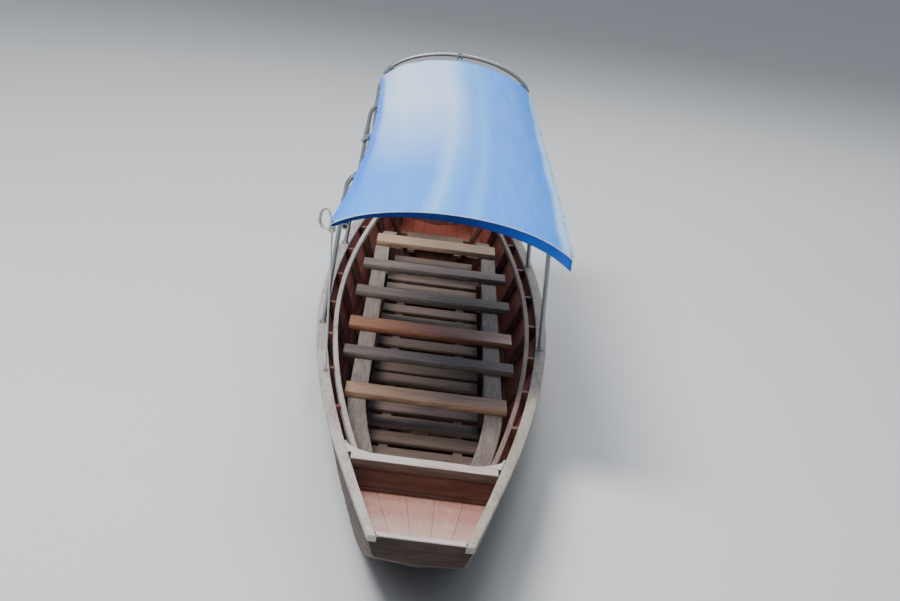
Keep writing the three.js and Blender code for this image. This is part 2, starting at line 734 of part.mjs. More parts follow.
// Floor panels: cross boards on two battens
function floorPanels() {
  for (const [name, from, to] of FLOOR_PANELS) {
    const pitch = FLOOR.boardLong + FLOOR.gap;
    const count = Math.floor((to - from + FLOOR.gap) / pitch);
    const start = from + (to - from - count * pitch + FLOOR.gap) / 2;
    const boards = Array.from({ length: count }, (_, i) => {
      const ends = [start + i * pitch, start + i * pitch + FLOOR.boardLong];
      const half = Math.min(FLOOR.halfWide, ...ends.map((at) => railInside(at) - FLOOR.sideGap));
      return loft(ends.map((at) => boardRing(at, -half, half, floorTop(at), FLOOR.board)));
    });
    const battens = SIDES.map(([, sign]) => {
      const rings = steps(from + BATTEN.endGap, to - BATTEN.endGap, BATTEN.step).map((aft) => {
        const top = floorTop(aft) - FLOOR.board + BATTEN.overlap;
        const y = sign * Math.min(BATTEN.y, railInside(aft) - BATTEN.sideGap);
        return boardRing(aft, y - BATTEN.half, y + BATTEN.half, top, top - timberTop(aft) - SEAM);
      });
      return loft(rings);
    });
    add(name, join(...battens, ...boards), "floorBrown");
  }
}

// The canopy's arch at a distance aft, as half width, eave height and crown height
function archAt(aft) {
  const share = (a, b) => mapLinear(aft, CANOPY.front, CANOPY.rear, a, b);
  return {
    half: share(CANOPY.halfFront, CANOPY.halfRear),
    eave: share(CANOPY.eaveFront, CANOPY.eaveRear),
    crown: share(CANOPY.crownFront, CANOPY.crownRear),
  };
}

// A point of the arch: turn 0 is the port eave, pi the starboard eave
function archPoint(aft, turn, out = 0) {
  const { half, eave, crown } = archAt(aft);
  return V(stationX(aft), Math.cos(turn) * (half + out), eave + Math.sin(turn) * (crown - eave + out));
}

// A leg under the port or starboard end of an arch, with its foot plate and its sleeve
function hoopLeg(aft, sign) {
  const x = stationX(aft);
  const [footY, footZ] = [capInside(aft) + FOOT.inboard, capTop(aft) + 2 * SEAM];
  const end = archPoint(aft, 0);
  const at = (share) => V(x, sign * lerp(footY, end.y, share), lerp(footZ + FOOT.thick - WELD, end.z, share));
  const ys = [footY - FOOT.side, footY + FOOT.side];
  return [
    sideBox(sign, x - FOOT.half, x + FOOT.half, ...ys, footZ, footZ + FOOT.thick),
    pipe(new THREE.LineCurve3(at(0), at(1.01)), PIPE, 1),
    pipe(new THREE.LineCurve3(at(SLEEVE.from), at(SLEEVE.to)), PIPE + SLEEVE.thick, 1),
  ];
}

function hoops() {
  for (const [name, aft, legs] of HOOPS) {
    const start = legs ? 0 : deg(SHORT_HOOP);
    const turnAt = (i) => lerp(start, Math.PI - start, i / HOOP_BENDS);
    const points = Array.from({ length: HOOP_BENDS + 1 }, (_, i) => archPoint(aft, turnAt(i)));
    const arch = pipe(new THREE.CatmullRomCurve3(points, false, "centripetal"), PIPE, HOOP_STEPS);
    const pieces = legs ? [...hoopLeg(aft, 1), ...hoopLeg(aft, -1)] : [];
    add(name, join(arch, ...pieces), "pipeGrey");
  }
}

// A point square inside the arch, at a distance from it
function insideArch(aft, turn, distance) {
  const nudge = 0.02;
  const along = archPoint(aft, turn + nudge).sub(archPoint(aft, turn - nudge)).normalize();
  return archPoint(aft, turn).add(V(0, -along.z, along.y).multiplyScalar(distance));
}

// Straight pipes along the crown and the eaves, lashed under the hoops
function canopyRails() {
  for (const [name, turn, gap] of CANOPY_RAILS) {
    const [[, first], [, last]] = [HOOPS[0], HOOPS.at(-1)];
    const ends = [first - RAIL_OVERHANG, last + RAIL_OVERHANG];
    const [a, b] = ends.map((aft) => insideArch(aft, deg(turn), 2 * PIPE + gap));
    add(name, pipe(new THREE.LineCurve3(a, b), PIPE, 1), "pipeGrey");
  }
}

// Turn of the sheet's free edge at a distance aft: a curve through its front, middle and rear
function edgeTurn({ front, middle, rear }, share) {
  const bow = 4 * share * (1 - share) * (middle - (front + rear) / 2);
  return deg(lerp(front, rear, share) + bow);
}

// A point of the sheet, from its port edge at 0 to its starboard edge at 1
function sheetPoint(aft, across, out) {
  const share = mapLinear(aft, TARP.front, TARP.rear, 0, 1);
  const [port, starboard] = EDGES.map((edge) => edgeTurn(edge, share));
  const point = archPoint(aft, lerp(port, Math.PI - starboard, across), out);
  const near = Math.abs(1 - 2 * across);
  const edge = across < 0.5 ? EDGES[0] : EDGES[1];
  point.y += edge.side * edge.pull * near ** 3 * (1 - share) ** edge.fade;
  point.z -= edge.droop * near ** 4 * (1 - share) ** DROOP_FADE;
  return point;
}

// The tarpaulin, one sheet over the hoops, with its front corners pulled out
function tarpaulin() {
  const low = PIPE + TARP.lift;
  const rings = steps(TARP.front, TARP.rear, (TARP.rear - TARP.front) / TARP.along).map((aft) => {
    const turns = Array.from({ length: TARP.across + 1 }, (_, i) => i / TARP.across);
    const row = (out) => turns.map((across) => sheetPoint(aft, across, out));
    return [...row(low + TARP.thick), ...row(low).reverse()];
  });
  add("tarpaulin", loft(rings), "tarpBlue");
}

// Steel socket on the stern beam, and the swivelling yoke above it
function pivot() {
  const x = stationX(PIVOT_AFT);
  const base = capTop(STERN_BEAM.from) + SEAM;
  const inside = base + SOCKET.plate / 2;
  const top = PIVOT_Z + YOKE.low - SEAM;
  const { halfLong, halfWide } = SOCKET;
  const plate = box(x - halfLong, x + halfLong, -halfWide, halfWide, base, base + SOCKET.plate);
  const tube = rod("z", inside, top, x, 0, SOCKET.tube, 20);
  const { half: web, top: webTop, reach } = SOCKET_WEB;
  const webs = [
    box(x - web, x + web, -reach, reach, inside, base + webTop),
    box(x - halfLong + web, x + halfLong - web, -web, web, inside, base + webTop),
  ];
  const bolt = SOCKET_BOLT;
  const corners = [[-1, -1], [-1, 1], [1, -1], [1, 1]];
  const bolts = corners.map(([i, j]) =>
    rod("z", base + bolt.low, base + bolt.top, x + i * bolt.x, j * bolt.y, bolt.radius, 6),
  );
  const bore = rod("z", base - 1, top + 1, x, 0, SOCKET.bore, 20);
  add("pivot_socket", cut(join(plate, tube, ...webs, ...bolts), bore), "steelDark");

  const yoke = new THREE.Group();
  yoke.position.set(x, 0, PIVOT_Z);
  boat.add(yoke);
  const { inside: armIn, outside: armOut, half: armHalf, low: armLow } = YOKE_ARM;
  const arms = SIDES.flatMap(([, sign]) => {
    const ys = [sign * armIn, sign * armOut].sort((a, b) => a - b);
    return [box(-armHalf, armHalf, ...ys, armLow, 0), rod("y", ...ys, 0, 0, armHalf, 20)];
  });
  const bar = box(-YOKE.barHalf, YOKE.barHalf, -armOut, armOut, YOKE.low, YOKE.top);
  const pin = rod("z", base + WELD - PIVOT_Z, (YOKE.low + YOKE.top) / 2, 0, 0, YOKE.pin, 20);
  const eye = rod("y", -armOut - 1, armOut + 1, 0, 0, YOKE.eye, 24);
  add("swivel_yoke", cut(join(bar, pin, ...arms), eye), "steelDark", yoke);
}

// The longtail unit: a group on the tilt axis, sloped down to the water astern
function longtail() {
  const unit = new THREE.Group();
  unit.position.set(stationX(PIVOT_AFT), 0, PIVOT_Z);
  unit.rotation.y = -SHAFT_SLOPE;
  boat.add(unit);
  cradle(unit);
  engine(unit);
  cylinder(unit);
  tiller(unit);
  tail(unit);
  propeller(unit);
}

function cradle(unit) {
  const { rear, front, railIn, railOut, low, high, bar, pin } = CRADLE;
  const rails = SIDES.map(([, sign]) => sideBox(sign, rear, front, railIn, railOut, low, high));
  const crossBars = [
    box(rear, rear + bar - WELD, -railOut, railOut, low, high),
    box(front - bar, front, -railOut, railOut, low, high),
  ];
  const trunnions = rod("y", -pin.half, pin.half, 0, 0, pin.radius, 24);
  const frame = join(...rails, ...crossBars, box(...CRADLE.bed), trunnions, box(...CRADLE.flange));
  add("cradle", cut(frame, box(...CRADLE.waist)), "steelDark", unit);
}

function engine(unit) {
  add("coupling_housing", join(...turned(COUPLING, SHAFT_Z, 20)), "engineMetal", unit);
  const { padFrom, pad, foot, along, lean } = CYLINDER;
  const leaningPad = box(-pad, pad, padFrom, foot - SEAM, -pad, pad);
  leaningPad.rotateX(lean).translate(along, 0, SHAFT_Z);
  const drum = rod("x", CRANK_FROM, CRANK_TO, 0, SHAFT_Z, CRANK_DRUM, 18);
  const crankcase = join(leaningPad, drum, ...CRANK_BOXES.map((sizes) => box(...sizes)));
  add("crankcase", crankcase, "engineBlack", unit);
  add("recoil_housing", join(...turned(RECOIL, SHAFT_Z, 24)), "engineRed", unit);
  add("fuel_tank", join(...TANK_BOXES.map((sizes) => box(...sizes))), "tankWhite", unit);
  const cap = rod("z", TANK_TOP + SEAM, TANK_CAP.top, TANK_CAP.x, TANK_CAP.y, TANK_CAP.radius, 18);
  add("fuel_cap", join(cap, box(...TANK_CAP.grip)), "engineBlack", unit);
  const { x, z, from, to, radius } = AIR_FILTER;
  add("air_filter", join(rod("y", from, to, x, z, radius, 18), box(...FILTER_DUCT)), "engineBlack", unit);
}

// The finned cylinder with its head and cover, and the silencer on it
function cylinder(unit) {
  const lean = new THREE.Group();
  lean.position.set(CYLINDER.along, 0, SHAFT_Z);
  lean.rotation.x = CYLINDER.lean;
  unit.add(lean);
  const { foot, barrel, barrelTo } = CYLINDER;
  const fins = Array.from({ length: FINS.count }, (_, i) => {
    const from = foot + FINS.first + i * FINS.pitch;
    return box(-FINS.half, FINS.half, from, from + FINS.thick, -FINS.tall, FINS.tall);
  });
  const top = CYLINDER_TOP.map((sizes) => box(...sizes));
  const block = join(box(-barrel, barrel, foot, barrelTo, -barrel, barrel), ...fins, ...top);
  add("finned_cylinder", block, "engineMetal", lean);
  const outlet = rod("x", OUTLET.from, OUTLET.to, OUTLET.y, OUTLET.z, OUTLET.radius, 12);
  add("silencer", join(box(...SILENCER.body), box(...SILENCER.neck), outlet), "steelDark", lean);
}

function tiller(unit) {
  const route = new THREE.CatmullRomCurve3(TILLER.map(([x, z]) => V(x, 0, z)));
  const arm = join(box(...TILLER_PLATE), pipe(route, TILLER_RADIUS, 14, 6));
  add("tiller_arm", arm, "pipeGrey", unit);
  const z = TILLER.at(-1)[1];
  const sleeve = rod("x", GRIP.from, GRIP.to - WELD, 0, z, GRIP.radius, 16);
  const collar = rod("x", GRIP.to - GRIP.collarLong, GRIP.to, 0, z, GRIP.collar, 16);
  add("tiller_grip", join(sleeve, collar), "rubber", unit);
}

// The tail: tube, stiffening rod, skeg and splash plate welded together
function tail(unit) {
  const { end, radius, from, flange, flangeTo } = TAIL;
  const turnedPieces = [
    rod("x", end, from, 0, SHAFT_Z, radius, 18),
    rod("x", flangeTo, from - WELD, 0, SHAFT_Z, flange, 20),
    rod("x", end - WELD, end + BEARING.long, 0, SHAFT_Z, BEARING.radius, 18),
  ];
  const route = new THREE.CatmullRomCurve3(BRACE.map(([x, over]) => V(x, 0, SHAFT_Z + over)));
  const braceTop = SHAFT_Z + BRACE[1][1];
  const posts = BRACE_POSTS.map((x) => rod("z", SHAFT_Z + 10, braceTop, x, 0, 6, 8));
  const plates = [SKEG, WEB].map((rows) => slab(rows.map(([ahead, z]) => [end + ahead, z]), PLATE_HALF));
  const { half, side, low, top } = SPLASH_PLATE;
  const splash = box(end - half, end + half, -side, side, low, top);
  const whole = join(...turnedPieces, pipe(route, BRACE_RADIUS, 22), ...posts, ...plates, splash);
  const bore = rod("x", end - 2 * BRACE_RADIUS, end + BEARING.bore, 0, SHAFT_Z, SHAFT_RADIUS + 0.5, 18);
  add("tail_tube", cut(whole, bore), "steelDark", unit);
}

// A flat plate of an x-z outline on the centre plane
function slab(points, half) {
  return loft([-half, half].map((y) => points.map(([x, z]) => V(x, y, z))));
}

// Two twisted blades on a hub, with a stub of the shaft
function propeller(unit) {
  const group = new THREE.Group();
  group.position.set(PROP_AT, 0, SHAFT_Z);
  unit.add(group);
  const blade = (sign) =>
    loft(
      BLADE.map(([radius, half, angle]) => {
        const [c, s] = [Math.cos(deg(angle)), Math.sin(deg(angle))];
        const corners = [[-half, 0], [0, BLADE_THICK], [half, 0], [0, -BLADE_THICK]];
        return corners.map(([u, v]) => V(u * s - v * c, sign * (u * c + v * s), sign * radius));
      }),
    );
  add("propeller", join(...turned(HUB, 0, 18), blade(1), blade(-1)), "brass", group);
}

// A wooden chock on the stern head, under the tail
function chock() {
  const x = stationX(LENGTH - HEAD_LENGTH / 2);
  const ahead = stationX(PIVOT_AFT) - x;
  const tailAtPivot = PIVOT_Z + (SHAFT_Z - TAIL.radius) / Math.cos(SHAFT_SLOPE);
  const under = (distance) => tailAtPivot - distance * Math.tan(SHAFT_SLOPE) - CHOCK.underTail;
  const base = capTop(LENGTH) + SEAM;
  const points = [
    [x - CHOCK.half, base],
    [x + CHOCK.half, base],
    [x + CHOCK.half, under(ahead - CHOCK.half)],
    [x - CHOCK.half, under(ahead + CHOCK.half)],
  ];
  add("tail_chock", slab(points, CHOCK.side), "seatTan");
}

planking();
gunwales();
heads();
endsOfWell();
sideFraming();
floorFraming();
seatRails();
thwarts();
floorPanels();
hoops();
canopyRails();
tarpaulin();
pivot();
longtail();
chock();

export default boat;
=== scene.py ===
"""A small wooden longtail boat afloat: planked hull, seats, blue canopy on hoops, and its engine."""

import math
import random

import bmesh
import bpy
from mathutils import Matrix, Vector, noise


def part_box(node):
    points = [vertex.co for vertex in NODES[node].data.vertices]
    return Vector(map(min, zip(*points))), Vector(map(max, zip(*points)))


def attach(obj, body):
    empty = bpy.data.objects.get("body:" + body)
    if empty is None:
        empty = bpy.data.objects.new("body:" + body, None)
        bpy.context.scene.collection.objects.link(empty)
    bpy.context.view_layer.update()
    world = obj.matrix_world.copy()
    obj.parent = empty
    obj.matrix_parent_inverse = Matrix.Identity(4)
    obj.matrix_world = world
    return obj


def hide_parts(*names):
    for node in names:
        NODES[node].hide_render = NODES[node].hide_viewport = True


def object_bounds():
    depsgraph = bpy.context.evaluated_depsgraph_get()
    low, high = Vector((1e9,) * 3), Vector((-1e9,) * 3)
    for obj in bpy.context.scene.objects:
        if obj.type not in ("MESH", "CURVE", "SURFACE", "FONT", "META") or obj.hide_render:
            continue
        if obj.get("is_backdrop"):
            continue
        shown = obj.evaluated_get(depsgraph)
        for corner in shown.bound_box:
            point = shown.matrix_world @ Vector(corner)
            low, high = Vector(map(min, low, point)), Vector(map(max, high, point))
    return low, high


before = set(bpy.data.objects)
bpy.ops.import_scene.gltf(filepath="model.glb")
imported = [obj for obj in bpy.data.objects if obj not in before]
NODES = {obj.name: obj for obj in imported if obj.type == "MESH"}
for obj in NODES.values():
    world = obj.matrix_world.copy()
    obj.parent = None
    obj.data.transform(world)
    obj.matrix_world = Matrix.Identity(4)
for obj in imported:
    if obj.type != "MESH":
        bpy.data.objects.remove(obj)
cad_low, cad_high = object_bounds()

AHEAD, ACROSS, UP = Vector((1, 0, 0)), Vector((0, 1, 0)), Vector((0, 0, 1))
SIDES = (("port", 1), ("starboard", -1))
CORNERS = ((-1, -1), (-1, 1), (1, -1), (1, 1))

# Camera: the photographer's eye in the boat's frame, and how the picture is tilted by the boat's heel
EYE = Vector((11.75, -0.19, 3.20))
PITCH, YAW, HEEL = (math.radians(angle) for angle in (18.41, 1.64, 7.66))
PHOTO_FOCAL = 798.0  # pixels of the 900-pixel wide photograph
PHOTO_SIZE = (900, 601)
AIM_PIXEL = (455.0, 232.0)  # the boat's middle in the photograph
ZOOM = 2.85
SENSOR = 36.0

# Light and floor
SKY_COLOUR = (0.84, 0.90, 1.0, 1)
SKY_STRENGTH = 0.34
LAMPS = (
    # name, place, size, watts, colour
    ("key", (2.6, -4.2, 9.6), 5.0, 1330, (1.0, 0.985, 0.96)),
    ("fill", (9.0, -2.5, 6.5), 6.0, 260, (0.94, 0.97, 1.0)),
    ("back", (-8.5, 1.0, 8.5), 6.0, 760, (1.0, 0.99, 0.97)),
)
LAMP_AIM = Vector((0.3, 0, 0.5))
FLOOR_REACH = 120.0
FLOOR_STEP = 0.1
FLOAT_DEPTH = 0.004  # where the keel lies less deep, the floor closes under the hull
HALF_PLANK = 0.009

# Hull
HALF_LENGTH = 4.1
SEAM = 0.0006
PLANK_EDGE = 0.0022
BUTT_GAP = 0.0008
CAP_INSET = 0.0008
FRAME_X = tuple(HALF_LENGTH - aft for aft in (1.35, 2.02, 2.69, 3.36, 4.03, 4.70, 5.37, 6.04, 6.71, 7.20))
RIB_WIDE = 0.036
BOTTOM_SEAMS = (0.32, 0.66)  # shares of the way from the keel to the chine
DECKS = ("foredeck", "aft_deck")
DECK_BOARDS = 5
DECK_THICK = 0.018
BOARD_GAP = 0.0003
FLOOR_LEVELS = ((2.2, 0.112), (6.56, 0.060), (8.2, 0.092))  # how far aft each height of the floor goes
FLOOR_DEEP = 0.034  # the floor boards and their battens
RAIL_THICK = 0.026
RAIL_LEGS_END = 6.48  # aft of the bow
SEATS = ("front", "second", "third", "fourth", "fifth", "driver")

# Canopy, in metres: the arch runs straight from the front hoop to the rear one
CANOPY_ENDS = (1.620, -2.620)
ARCH_HALF = (0.530, 0.465)
ARCH_EAVE = (1.022, 1.130)
ARCH_CROWN = (1.176, 1.362)
HOOPS = ("front", "second", "third", "fourth", "fifth", "rear")
HOOP_X = (1.620, 0.660, -0.300, -1.260, -2.160, -2.500)
LEGGED = (1, 3, 4)
PIPE = 0.012
RAIL_TURNS = {"ridge_pole": (90, 0.0244), "eave_rail_port": (24, 0.0253),
              "eave_rail_starboard": (156, 0.0253)}
RAIL_ENDS = (1.680, -2.560)
TARP_ENDS = (1.705, -2.210)
TARP_OUT = 0.0152  # from the middle of a hoop's pipe to the sheet's underside
TARP_THICK = 0.0012
HOOP_HOLD = 0.013  # the sheet lies on a hoop this far to each side of it
HEM_WIDE = 0.030  # share of the sheet's width
HEM_LIFT = TARP_THICK + 0.0003
EDGES = (
    # degrees round the arch at the front, middle and rear; how far the edge is pulled out and hangs
    {"front": 20, "middle": 18, "rear": 16, "side": 1, "pull": 0.062, "fade": 1, "droop": 0.030},
    {"front": 20, "middle": 31, "rear": 16, "side": -1, "pull": 0.028, "fade": 5, "droop": 0.006},
)
TIE_X = (1.672, 1.14, 0.60, 0.06, -0.48, -1.02, -1.56, -2.185)
TIE_SHARES = (("eave_rail_port", 0.013), ("eave_rail_starboard", 0.987))
CORNER_BOW = (
    # the loop of the bow that ties down the corner: how far outboard of the corner and how far above it
    (0.016, -0.030), (0.040, -0.028), (0.058, -0.008), (0.062, 0.024), (0.054, 0.054), (0.038, 0.066),
    (0.022, 0.056), (0.012, 0.030), (0.006, 0.004),
)

# Engine: where it pivots, how its shaft slopes and how its cylinder leans
PIVOT = Vector((-3.45, 0.0, 0.52))
SHAFT_SLOPE = math.radians(20)
SHAFT_Z = 0.12
LEAN = math.radians(25)
ENGINE_PLACE = Matrix.Translation(PIVOT) @ Matrix.Rotation(-SHAFT_SLOPE, 4, "Y")
LEAN_PLACE = ENGINE_PLACE @ Matrix.Translation((0.2, 0, SHAFT_Z)) @ Matrix.Rotation(LEAN, 4, "X")
PROPELLER_PLACE = ENGINE_PLACE @ Matrix.Translation((-2.490, 0, SHAFT_Z))
ENGINE = {"body": "engine_unit", "place": ENGINE_PLACE}
LEANING = {"body": "engine_unit", "place": LEAN_PLACE}
YOKE = {"body": "yoke", "place": Matrix.Translation(PIVOT)}

# Plates under the tail, as distance ahead of its end and height, and the propeller's blade, by radius
PLATE_SIDES = (-0.003, 0.003)
TAIL_END = -2.420
SKEG = ((0.150, 0.106), (0.010, 0.106), (0.024, -0.036), (0.060, -0.052))
TAIL_WEB = ((0.190, 0.131), (0.010, 0.131), (-0.010, 0.261), (0.110, 0.261))
BLADE = ((0.014, 0.020, 52), (0.045, 0.036, 38), (0.080, 0.042, 27), (0.105, 0.040, 21), (0.118, 0.036, 18))


def lerp(a, b, share):
    return a + (b - a) * share


def even(low, high, step):
    count = max(1, round(abs(high - low) / step))
    return [lerp(low, high, i / count) for i in range(count + 1)]


def place_in_scene(name, data):
    made = bpy.data.objects.new(name, data)
    bpy.context.scene.collection.objects.link(made)
    return made


# Camera, light and floor


def make_camera():
    cos, sin = math.cos, math.sin
    forward = Vector((-cos(PITCH) * cos(YAW), cos(PITCH) * sin(YAW), -sin(PITCH)))
    level = Vector((sin(YAW), cos(YAW), 0))
    above = level.cross(forward)
    right = level * cos(HEEL) + above * sin(HEEL)
    up = -level * sin(HEEL) + above * cos(HEEL)
    across = (AIM_PIXEL[0] - PHOTO_SIZE[0] / 2) / PHOTO_FOCAL
    upward = (PHOTO_SIZE[1] / 2 - AIM_PIXEL[1]) / PHOTO_FOCAL
    forward = (forward + right * across + up * upward).normalized()
    up = (up - forward * up.dot(forward)).normalized()
    right = forward.cross(up)
    data = bpy.data.cameras.new("camera")
    data.sensor_width = SENSOR
    data.lens = PHOTO_FOCAL / PHOTO_SIZE[0] * SENSOR * ZOOM
    data.clip_end = 500
    camera = place_in_scene("camera", data)
    camera.matrix_world = Matrix.Translation(EYE) @ Matrix((right, up, -forward)).transposed().to_4x4()
    bpy.context.scene.camera = camera


def make_light():
    world = bpy.data.worlds.new("studio")
    world.use_nodes = True
    sky = world.node_tree.nodes["Background"]
    sky.inputs["Color"].default_value = SKY_COLOUR
    sky.inputs["Strength"].default_value = SKY_STRENGTH
    bpy.context.scene.world = world
    for name, place, size, watts, colour in LAMPS:
        data = bpy.data.lights.new(name, "AREA")
        data.shape = "DISK"
        data.size, data.energy, data.color = size, watts, colour
        lamp = place_in_scene(name, data)
        lamp.location = place
        lamp.rotation_mode = "QUATERNION"
        lamp.rotation_quaternion = (LAMP_AIM - Vector(place)).to_track_quat("-Z", "Y")


def make_floor(finish):
    """The floor at the waterline, open where the hull floats in it."""
    xs = [x for x in even(-HALF_LENGTH, HALF_LENGTH, FLOOR_STEP) if BOTTOM_LINES[0].at(x).z < -FLOAT_DEPTH]
    halves = [0.0] + [waterline_half(x) for x in xs[1:-1]] + [0.0]
    corners, faces = [], []
    for _, sign in SIDES:
        start = len(corners)
        for x, half in zip(xs, halves):
            corners += [(x, sign * half, 0), (x, sign * FLOOR_REACH, 0)]
        faces += [(k, k + 1, k + 3, k + 2) for k in range(start, len(corners) - 2, 2)]
    for x, far in ((xs[0], -FLOOR_REACH), (xs[-1], FLOOR_REACH)):
        start = len(corners)
        corners += [(x, -FLOOR_REACH, 0), (far, -FLOOR_REACH, 0), (far, FLOOR_REACH, 0), (x, FLOOR_REACH, 0)]
        corners.append((x, 0, 0))
        faces.append(tuple(range(start, start + 5)))
    mesh = bpy.data.meshes.new("floor")
    mesh.from_pydata(corners, [], faces)
    for face in mesh.polygons:
        if face.normal.z < 0:
            face.flip()
    mesh.materials.append(finish)
    place_in_scene("floor", mesh)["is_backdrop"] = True


def waterline_half(x):
    """Half the hull's breadth at the waterline, in the thick of its planking."""
    line = [BOTTOM_LINES[0].at(x), LOWER["port"][0].at(x), LOWER["port"][1].at(x)]
    for low, high in zip(line, line[1:]):
        if low.z < 0 <= high.z:
            return lerp(low.y, high.y, -low.z / (high.z - low.z)) - HALF_PLANK


# Nodes, both of materials and of Geometry Nodes


class NodeBuilder:
    """Adds nodes to a network. Each call returns the main output of what it adds."""

    def __init__(self, network, family):
        self.network, self.family = network, family

    def feed(self, socket, value):
        """Links a socket or a list of them, or sets a plain value. None leaves what is there."""
        if isinstance(value, (list, bpy.types.NodeSocket)):
            for source in value if isinstance(value, list) else [value]:
                self.network.links.new(source, socket)
        elif value is not None:
            socket.default_value = value

    def node(self, kind, settings=None, out=0, **feeds):
        node = self.network.nodes.new(kind)
        for name, value in (settings or {}).items():
            setattr(node, name, value)
        for name, value in feeds.items():
            self.feed(node.inputs[name.replace("_", " ")], value)
        return node.outputs[out]

    def add(self, kind, settings=None, out=0, **feeds):
        return self.node(self.family + kind, settings, out, **feeds)

    def sum(self, action, a, b=None, kind="ShaderNodeMath"):
        node = self.network.nodes.new(kind)
        node.operation = action
        self.feed(node.inputs[0], a)
        self.feed(node.inputs[1], b)
        return node.outputs[0]


# Finishes. Each is worked out from Object coordinates, or from an attribute of the piece.


class Finish(NodeBuilder):
    """A material being built."""

    def __init__(self, name, rough=0.5, metal=0.0, **sockets):
        self.made = bpy.data.materials.new(name)
        self.made.use_nodes = True
        super().__init__(self.made.node_tree, "ShaderNode")
        self.shader = self.network.nodes["Principled BSDF"]
        for socket, value in {"Roughness": rough, "Metallic": metal, **sockets}.items():
            self.shader.inputs[socket.replace("_", " ")].default_value = value
        self.place = self.add("TexCoord", out="Object")

    def stretched(self, *scale):
        return self.add("Mapping", Vector=self.place, Scale=scale)

    def grit(self, scale, detail=4.0, rough=0.55, at=None, bend=0.0):
        return self.add("TexNoise", Vector=at or self.place, Scale=scale, Detail=detail, Roughness=rough,
                        Distortion=bend)

    def attribute(self, name, out="Fac"):
        return self.add("Attribute", {"attribute_name": name}, out)

    def part(self, axis, of=None):
        return self.add("SeparateXYZ", out=axis, Vector=of or self.place)

    def ramp(self, value, *stops):
        """Stops are (place, grey or colour)."""
        node = self.network.nodes.new("ShaderNodeValToRGB")
        self.feed(node.inputs["Fac"], value)
        elements = node.color_ramp.elements
        while len(elements) < len(stops):
            elements.new(0.5)
        for element, (place, colour) in zip(elements, stops):
            element.position = place
            element.color = (*colour, 1) if isinstance(colour, tuple) else (colour, colour, colour, 1)
        return node.outputs["Color"]

    def weigh(self, *parts):
        """The sum of values, each times its weight."""
        total = None
        for value, weight in parts:
            each = self.sum("MULTIPLY", value, weight)
            total = each if total is None else self.sum("ADD", total, each)
        return total

    def share(self, value, start, end):
        """How far a value is on its way from start to end."""
        return self.sum("DIVIDE", self.sum("SUBTRACT", value, start), end - start)

    def mix(self, share, a, b, blend="MIX"):
        node = self.network.nodes.new("ShaderNodeMix")
        node.data_type, node.blend_type = "RGBA", blend
        colours = [(*value, 1) if isinstance(value, tuple) else value for value in (a, b)]
        for socket, value in (("Factor", share), ("A", colours[0]), ("B", colours[1])):
            self.feed(node.inputs[socket], value)
        return node.outputs["Result"]

    def bump(self, height, depth, strength=1.0, under=None):
        return self.add("Bump", Strength=strength, Distance=depth, Height=height, Normal=under)

    def finish(self, colour=None, rough=None, metal=None, normal=None):
        sockets = {"Base Color": colour, "Roughness": rough, "Metallic": metal, "Normal": normal}
        for socket, value in sockets.items():
            self.feed(self.shader.inputs[socket], value)
        return self.made


def dimmed(tint, share):
    return tuple(share * part for part in tint)


GRAIN = {"X": (1.0, 14.0, 14.0), "Y": (14.0, 1.0, 14.0), "Z": (14.0, 14.0, 1.0)}


def timber(name, dark, light, grain="X", rough=0.65, gloss=0.5, inside=None, faded=None, stain=None, **coat):
    """Weathered timber: fibres and rings along the grain, board by board, with what is left of its paint."""
    made = Finish(name, rough=rough, Specular_IOR_Level=gloss)
    along = made.stretched(*GRAIN[grain])
    fibres = made.grit(26.0, 8.0, 0.68, at=along)
    rings = made.grit(1.7, 3.0, 0.5, at=along, bend=1.4)
    bands = made.sum("PINGPONG", made.sum("MULTIPLY", rings, 9.0), 1.0)
    patches = made.grit(3.2, 5.0, 0.6)
    tone = made.weigh((fibres, 0.55), (bands, 0.25), (patches, 0.3))
    board = made.ramp(made.attribute("board_tint"), (0.0, 0.25), (1.0, 0.85))
    colour = made.mix(0.30, made.ramp(tone, (0.28, dark), (0.82, light)), board, "SOFT_LIGHT")
    height = made.weigh((fibres, 0.7), (bands, 0.18))
    if coat:
        worn, paint = worn_paint(made, grain, along, patches, fibres, **coat)
        colour = made.mix(worn, paint, colour)
        height = made.weigh((height, 1.0), (worn, -0.35))
    if inside:
        colour = made.mix(made.attribute("inside"), colour, inside_coat(made, inside, patches, fibres))
    if faded:
        start, end, tint = faded
        share = made.weigh((made.share(made.part("X"), start, end), 1.0), (patches, 0.7))
        colour = made.mix(made.ramp(made.sum("SUBTRACT", share, 0.35), (0.0, 0.0), (1.0, 0.70)), colour, tint)
    if stain:
        low, high, tint = stain
        level = made.weigh((made.part("Z"), 1.0), (patches, 0.05))
        colour = made.mix(made.ramp(made.share(level, low, high), (0.0, 0.92), (1.0, 0.0)), colour, tint)
    roughness = made.ramp(fibres, (0.2, rough - 0.12), (0.8, min(1.0, rough + 0.15)))
    return made.finish(colour=colour, rough=roughness, normal=made.bump(height, 0.0022, 0.55))


def worn_paint(made, grain, along, patches, fibres, paint, kept=0.5, soft=0.05, patch=5.0, flecks=0.6):
    """Where the paint has gone, in long patches and flecks, and the tone of what is left."""
    drawn_out = made.stretched(*(0.4 if scale == 1.0 else 2.4 for scale in GRAIN[grain]))
    long_patches = made.grit(patch, 6.0, 0.66, at=drawn_out)
    spread = made.weigh((long_patches, 1.0), (made.grit(11.0, 5.0, 0.66, at=along), flecks))
    edge = 0.88 - 0.75 * kept + 0.5 * flecks
    worn = made.ramp(spread, (max(0.0, edge - soft), 0.0), (min(1.0, edge + soft), 1.0))
    coat = made.mix(made.ramp(patches, (0.3, 0.0), (0.75, 0.55)), paint, dimmed(paint, 0.62))
    return worn, made.mix(made.ramp(fibres, (0.35, 0.30), (0.6, 0.0)), coat, dimmed(paint, 0.45))


